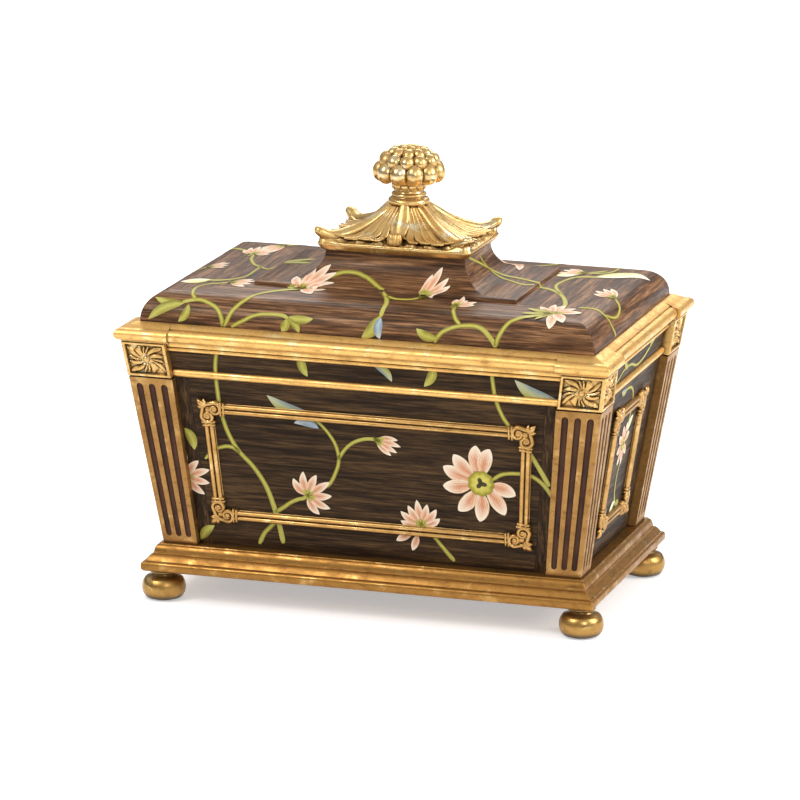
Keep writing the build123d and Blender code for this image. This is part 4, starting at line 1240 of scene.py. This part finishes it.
    def bud(self, base, facing, size):
        """Closed bud: a few slender petals in a small cup."""
        base = self.place(*base)
        for index, (turn, share) in enumerate(((24, 0.9), (-24, 0.88), (9, 1.04), (-8, 0.98))):
            length, bend, lift = size * share, 0.06 * turn / 24, 0.24 + 0.04 * index
            self.petal("petal", base, facing + turn, size * 0.06, length, size * 0.24, bend, lift)
        for turn, share in ((34, 0.42), (-32, 0.4), (8, 0.34), (-10, 0.36)):
            self.petal("green", base, facing + turn, -size * 0.1, size * share, size * 0.14, 0, 0.42)

    def fan(self, base, petals, sepals):
        """Blossom with each petal given: its turn, its length and its width."""
        base = self.place(*base)
        for index, (turn, length, width) in enumerate(petals):
            self.petal("petal", base, turn, 1, length, width, 0.05, 0.24 + 0.04 * (index % 4))
        for turn, length in sepals:
            self.petal("green", base, turn, -3, length, 3.6, 0.04, 0.44)

    def finish(self, name, body):
        """Build one piece for each kind of paint."""
        for paint, shape in self.layers.items():
            shape.build(f"painted_{paint}_{name}", PAINTS[paint], body, smooth=180)


def wall_painter(side):
    """Painter for one panel of the case, in run along the side and height."""
    place = on_wall(side, PANEL_RECESS)
    panel = Shape()
    half = wall(across[side], rim, PANEL_RECESS)
    panel.grid([[place(run, z) for run in (-half, half)] for z in (wall_foot, rim)])
    return Painter(Skin(panel), ALONG[side], place)


def long_side_vines(side):
    """Trailing vines over a long panel and its frieze."""
    brush = wall_painter(side)
    brush.stems(
        (2.8, 3.6, (-101, 180), (-103, 166), (-102.5, 150), (-101, 136), (-97, 121), (-90, 108), (-80, 97),
         (-72, 84), (-67, 69), (-64, 56), (-62, 44)),
        (3.2, 2.2, (-89, 106.5), (-94, 110), (-100, 110), (-107, 107), (-114, 100)),
        (3.2, 3.0, (-66, 60), (-71, 54.5), (-75, 50), (-79, 42)),
        (3.2, 2.6, (-66.5, 66), (-61, 69.5), (-55, 74), (-47, 78)),
        (2.8, 2.4, (-33, 86), (-27, 90), (-21.5, 101), (-19, 110), (-11.5, 119), (-2, 123.5), (8, 124)),
        (2.8, 2.0, (-19.5, 107), (-22, 118), (-28, 127.5), (-36, 135), (-42, 138)),
        (2.8, 3.0, (85, 102), (92, 106.5), (102, 108), (112, 107), (120, 101.5), (127, 92)),
        (2.8, 3.2, (87, 182), (88, 170), (89.5, 159), (93.5, 148), (99, 139.5), (107, 130), (115, 117),
         (124, 101)),
        (2.6, 3.2, (40, 62), (45, 56.5), (51, 49), (57, 42)),
    )
    brush.side_blossom((-43, 80), 35, 17.5, spread=190)
    brush.bud((6, 124), -22, 17)
    petals = (
        (96, 1.0), (75, 0.96), (133, 0.98), (158, 1.02), (188, 0.98),
        (232, 0.98), (266, 1.02), (306, 0.98), (344, 0.9),
    )
    brush.open_blossom((77.4, 99), petals, 27, 9.0)
    brush.side_blossom((35, 66), 98, 16.5)
    brush.petal("petal", brush.place(30, 61), 212, 2, 15, 5.5)
    brush.petal("petal", brush.place(33, 60), 250, 2, 14, 5)
    brush.side_blossom((-128, 86), 5, 17, petals=6, spread=160, sepals=0)
    brush.leaves(
        ("two_tone", (-37, 137.5), (-68, 149), 8.5, 0.1),
        ("blue", (-33, 128.5), (-50, 131), 6, -0.14),
        ("two_tone", (132, 161), (103, 173.5), 9.5, 0.12),
        ("green", (-127, 121), (-121, 106), 7, 0.1),
        ("green", (-120, 41.5), (-110, 52.5), 6.5, 0.1),
        ("green", (-43, 180), (-39, 164.5), 6.5, -0.1),
        ("two_tone", (7, 176), (19, 165.5), 5.5, 0.16),
        ("green", (48, 180), (41, 164), 6.5, 0.12),
    )
    brush.finish(side, "case")


def short_side_vines(side):
    """Vines and a blossom on an end panel and its frieze."""
    brush = wall_painter(side)
    brush.stems(
        (2.2, 2.6, (-14, 152), (-2, 151), (7, 146), (11, 136), (9, 124)),
        (2.6, 2.6, (3, 98), (0, 88), (2, 76), (9, 66)),
        (2.0, 2.2, (-46, 164), (-30, 169), (-12, 169), (4, 165), (20, 166), (38, 171)),
    )
    petals = (
        (70, 1.0), (110, 0.95), (150, 1.0), (195, 0.95),
        (238, 1.05), (275, 1.0), (320, 0.95), (20, 0.95),
    )
    brush.open_blossom((2, 111), petals, 15, 4.4)
    brush.leaves(
        ("pale", (8, 118), (19, 127), 6, 0.1),
        ("two_tone", (8, 68), (20, 60), 6.5, 0.12),
        ("pale", (6, 70), (-6, 60), 6, -0.12),
        ("green", (34, 170), (47, 174), 5, 0.1),
        ("green", (-20, 169), (-32, 176), 5, 0.1),
        ("two_tone", (-12, 152), (-26, 153), 5, 0.1),
    )
    brush.finish(side, "case")


def front_garland(brush, blossom):
    """Branches that rise from the front moulding over the rounded edge of the lid."""
    edge = (-97.1, 193.6)       # y and z where the wood meets the moulding
    low, high = (-97.1, 194), (-97.1, 195)
    brush.stems(
        (3.4, 2.4, (-98, *edge), (-99, -96, 199), (-103, -94, 205), (-111, -91, 208), (-118, -90, 209),
         (-128, -92, 207)),
        (3.4, 2.6, (-98, *edge), (-96, -97, 196), (-92, -94, 204), (-85, -87, 211), (-78, -73, 213),
         (-66, -62, 213), (-57, -58, 213)),
        (3.0, 2.4, (-92, *low), (-85, -97, 198), (-77, -95, 202), (-68, -95, 204), (-58, -95, 204),
         (-53, -95, 202)),
        (3.4, 3.0, (-44, -41, 220), (-34, -36, 222), (-24, -36, 222), (-14, -40, 219), (-5, -49, 216),
         (1, -56.5, 214), (6, -68, 213), (9, -80, 212), (9.5, -92, 207)),
        (2.8, 2.2, (3, -59, 214), (11, -64, 213), (20, -63, 213), (26, -57, 213.5)),
        (3.2, 3.2, (48, *low), (50, -97, 198), (54, -96, 202), (62, -94, 205), (72, -93, 206), (80, -94, 204),
         (87, -97, 198), (89, *low)),
        (2.8, 2.4, (64, -93, 206), (60, -90, 209), (56, -82, 212), (54, -72, 213)),
        (3.4, 2.8, (89, *low), (92, -95, 203), (97, -89, 210), (105, -82, 212), (112, -76, 213)),
        (2.6, 2.0, (-119, -90, 209), (-123, -85, 212), (-125, -73, 213), (-122, -62, 213), (-114, -56, 213),
         (-108, -53, 213)),
    )
    brush.leaves(
        ("green", (-127, -92, 207), (-147, -91, 209), 5.5, 0.1),
        ("green", (-126, -92, 206), (-150, *high), 6.5, -0.1),
        ("green", (-123, -93, 206), (-129, *high), 5.5, 0.15),
    )
    left = (
        (126, 18, 6), (80, 19, 6.5), (58, 25, 6.5), (40, 24, 6), (20, 21, 5.5), (2, 17, 6), (-30, 12, 6.5),
    )
    brush.fan((-57, -56, 213.5), left, ((180, 10), (168, 9), (205, 8), (60, 6), (10, 6)))
    brush.leaves(
        ("green", (-54, -96, 202), (-57, *edge), 6.5, 0.1),
        ("green", (-53, -95, 203), (-36, -95, 203), 6, -0.08),
        ("green", (-53, -96, 202), (-45, *edge), 5.5, 0.12),
        ("green", (9, -91, 207), (-2, *edge), 8, 0.12),
        ("blue", (10, -92, 206), (10.5, *edge), 6, -0.1),
        ("green", (50, -97, 197), (35, -95.5, 202), 6.5, 0.12),
    )
    brush.bud((26, -56, 214), 62, 22)
    middle = ((112, 9, 4.5), (60, 9, 4), (84, 11, 4.5), (30, 13, 4), (14, 12, 4))
    brush.fan((54, -71, 213), middle, ((90, 6), (120, 5), (50, 5)))
    if blossom:
        right = (
            (80, 12, 6), (112, 13, 5), (40, 14, 5), (12, 18, 6), (150, 14, 4.5), (-76, 15, 7), (-40, 15, 6.5),
        )
        brush.fan((120, -69, 213), right, ((172, 19), (190, 20), (208, 18), (228, 12), (0, 8)))
    else:
        brush.bud((112, -75, 213), 60, 17)
    brush.bud((-108, -53, 213), 4, 16)


def lid_vines(skin):
    """Vines over the whole lid: a garland on each long edge, and more across the top."""
    heading = Vector((1, 0, 0))
    brush = Painter(skin, heading, stretch=LID_STRETCH)
    front_garland(brush, True)
    brush.stems(
        (2.4, 2.8, (46, -24, 236), (52, 3, 225), (65, 13, 217), (90, 2, 216), (92, -1, 214), (101, -5, 214),
         (111, -17, 213), (119, -36, 213), (122, -50, 213)),
        (2.2, 2.0, (49, 2, 232), (54, 7, 222), (66, 4, 217), (82, -7, 216), (91, -3, 214)),
        (2.8, 2.4, (110, -14, 213), (103, 0, 214), (100, 12, 214), (102, 28, 214), (107, 40, 213),
         (120, 46, 213)),
        (2.2, 1.8, (103, 46, 213), (110, 55, 213), (120, 67, 213)),
        (2.2, 2.6, (131, -47, 213), (140, -45, 212), (150, -48, 208), (155, -49, 202), (156.1, -45, 194)),
        (2.4, 2.0, (149, -47, 209), (152, -40, 206), (153, -30, 205), (151, -16, 208), (144, -6, 212)),
        (2.6, 2.4, (-122, 38, 213), (-119, 24, 213), (-111, 7, 213), (-105, 0, 213), (-104, -15, 213.5),
         (-104, -30, 213), (-109, -41, 213), (-118, -47, 213), (-127, -47, 213)),
        (2.4, 1.8, (-106, 2, 213.4), (-100, -4, 213.6), (-96, -6, 213.8), (-94, 0, 214)),
        (2.4, 2.0, (-156.1, -34, 194), (-155, -30, 200), (-151, -24, 207), (-145, -16, 211), (-139, -8, 212)),
        (2.8, 2.2, (-156.1, 52, 194), (-154, 56, 203), (-146, 58, 211), (-134, 52, 213), (-122, 40, 213)),
    )
    brush.leaves(
        ("pale", (118, 45, 213), (150, 67, 209), 9, 0.06),
        ("pale", (93, 36, 214), (105, 47, 213), 7, 0.1),
        ("pale", (-124, -46, 213), (-142, -55, 211), 8, 0.08),
        ("green", (-94, 3, 214), (-71, 9, 217), 4, 0.1),
        ("green", (-91, 4, 215), (-72, 23, 217), 4.5, 0.08),
        ("green", (-151, 57, 207), (-150, 76, 207), 6.5, 0.12),
    )
    brush.bud((145, -7, 212), 150, 17)
    brush.side_blossom((-123, 41, 213), 78, 13)
    brush.bud((-139, -8, 212), 30, 13)
    brush.finish("lid", "lid")
    behind = Painter(skin, -heading, lambda x, y, z: Vector((-x, -y, z)), stretch=LID_STRETCH)
    front_garland(behind, False)
    behind.finish("lid_back", "lid")


# The whole casket

def dress(material, *names):
    """Give CAD nodes that stay visible a material in their slots."""
    for name in names:
        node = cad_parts[name]
        if not node.material_slots:
            node.data.materials.append(material)
        for slot in node.material_slots:
            slot.material = material


feet()
plinth()
for corner in ("front_left", "front_right", "back_right", "back_left"):
    pilaster(corner)
    rosette_block(corner)
trims()
for side in sides:
    frame_bars(side)
    frame_scrolls(side)
cornice()
lid_vines(lid_boards())
mount()
collar()
berry_knob()
for side in long_sides:
    long_side_vines(side)
for side in ("right", "left"):
    short_side_vines(side)
felt_panel("floor_felt", "case", "floor_panel")
felt_panel("lid_felt", "lid", "lid_lining")
screws()
dress(CASE_WOOD, "front_panel", "back_panel", "hinge_rail")
dress(END_WOOD, "right_panel", "left_panel")
dress(BRASS, *[f"hinge_{hand}_{body}_leaf" for hand in ("left", "right") for body in ("case", "lid")])
dress(STEEL, "finial_rod", "rod_washer", "rod_nut")


# Studio, in metres

FLOOR_HALF = 30
FLOOR_GREYS = (0.83, 0.85)
FLOOR_GLOW = 0.42               # in what the camera and the gloss see of the floor

# Soft lamps: place, what they aim at, width, height and power
LAMPS = {
    "key": ((-1.5, -1.9, 2.4), (0, 0, 0.15), 1.1, 1.1, 44),
    "fill": ((1.4, -2.2, 1.5), (0, 0, 0.15), 0.9, 0.9, 14),
    "side": ((2.4, 0.1, 1.5), (0, 0, 0.15), 1.2, 1.2, 44),
    "back": ((-0.4, 2.4, 1.9), (0, 0, 0.2), 2.0, 1.0, 28),
}

# Camera fitted to the casket's corners in the photograph: place in millimetres, angles in degrees
CAMERA_PLACE = Vector((1053.0, -3446.0, 1001.8))
CAMERA_ANGLES = (17.07, 13.61, 0.46)    # azimuth, elevation and roll
CAMERA_LENS = 247.96
CAMERA_REACH = 100


def add_object(name, data):
    """New object with its data, in the scene."""
    thing = bpy.data.objects.new(name, data)
    bpy.context.collection.objects.link(thing)
    return thing


def studio_floor():
    """Pale floor that reaches past every view."""
    mesh = bpy.data.meshes.new("floor")
    mesh.from_pydata([(sx * FLOOR_HALF, sy * FLOOR_HALF, 0) for sx, sy in QUARTERS], [], [(0, 1, 2, 3)])
    material, nodes = shade("floor_paper")
    darker, paler = [(grey, grey, grey) for grey in FLOOR_GREYS]
    tone = nodes.ramp(nodes.noise(3, 2), (0.3, darker), (0.7, paler))
    nodes.set(Base_Color=tone, Roughness=0.9, Specular_IOR_Level=0.1, Emission_Color=(1, 1, 1, 1))
    rays = nodes.add("ShaderNodeLightPath").outputs
    seen = nodes.math("MAXIMUM", rays["Is Camera Ray"], rays["Is Glossy Ray"])
    seen = nodes.math("MAXIMUM", seen, rays["Is Transmission Ray"])
    nodes.set(Emission_Strength=nodes.math("MULTIPLY", seen, FLOOR_GLOW))
    mesh.materials.append(material)
    floor = add_object("floor", mesh)


def studio_sky():
    """Sky for the gloss, lighter overhead and on the right."""
    world = bpy.data.worlds.new("studio")
    bpy.context.scene.world = world
    world.use_nodes = True
    sky = Nodes(world.node_tree, "Background")
    direction = sky.split("Generated")
    overhead = sky.band(direction[2], 0.05, 0.7, 0.16, 0.62)
    beside = sky.band(direction[0], 0.35, 0.9, 0.0, 0.35)
    sky.set(Color=sky.math("ADD", overhead, beside))


def studio_lamps():
    for name, (place, aim, width, height, power) in LAMPS.items():
        data = bpy.data.lights.new(name, "AREA")
        data.shape = "RECTANGLE"
        data.size, data.size_y = width, height
        data.energy = power
        lamp = add_object(name, data)
        lamp.location = place
        lamp.rotation_euler = (Vector(aim) - Vector(place)).to_track_quat("-Z", "Y").to_euler()


def photo_camera():
    azimuth, elevation, roll = [radians(angle) for angle in CAMERA_ANGLES]
    back = Vector((sin(azimuth) * cos(elevation), -cos(azimuth) * cos(elevation), sin(elevation)))
    level = Vector((cos(azimuth), sin(azimuth), 0))
    rise = back.cross(level)
    right = level * cos(roll) + rise * sin(roll)
    up = rise * cos(roll) - level * sin(roll)
    camera = add_object("camera", bpy.data.cameras.new("camera"))
    turn = Matrix([(right[i], up[i], back[i]) for i in range(3)]).to_4x4()
    camera.matrix_world = Matrix.Translation(CAMERA_PLACE * MM) @ turn
    camera.data.lens = CAMERA_LENS
    camera.data.clip_end = CAMERA_REACH
    bpy.context.scene.camera = camera


studio_floor()
studio_sky()
studio_lamps()
photo_camera()
scene = bpy.context.scene
scene.view_settings.view_transform = "Standard"
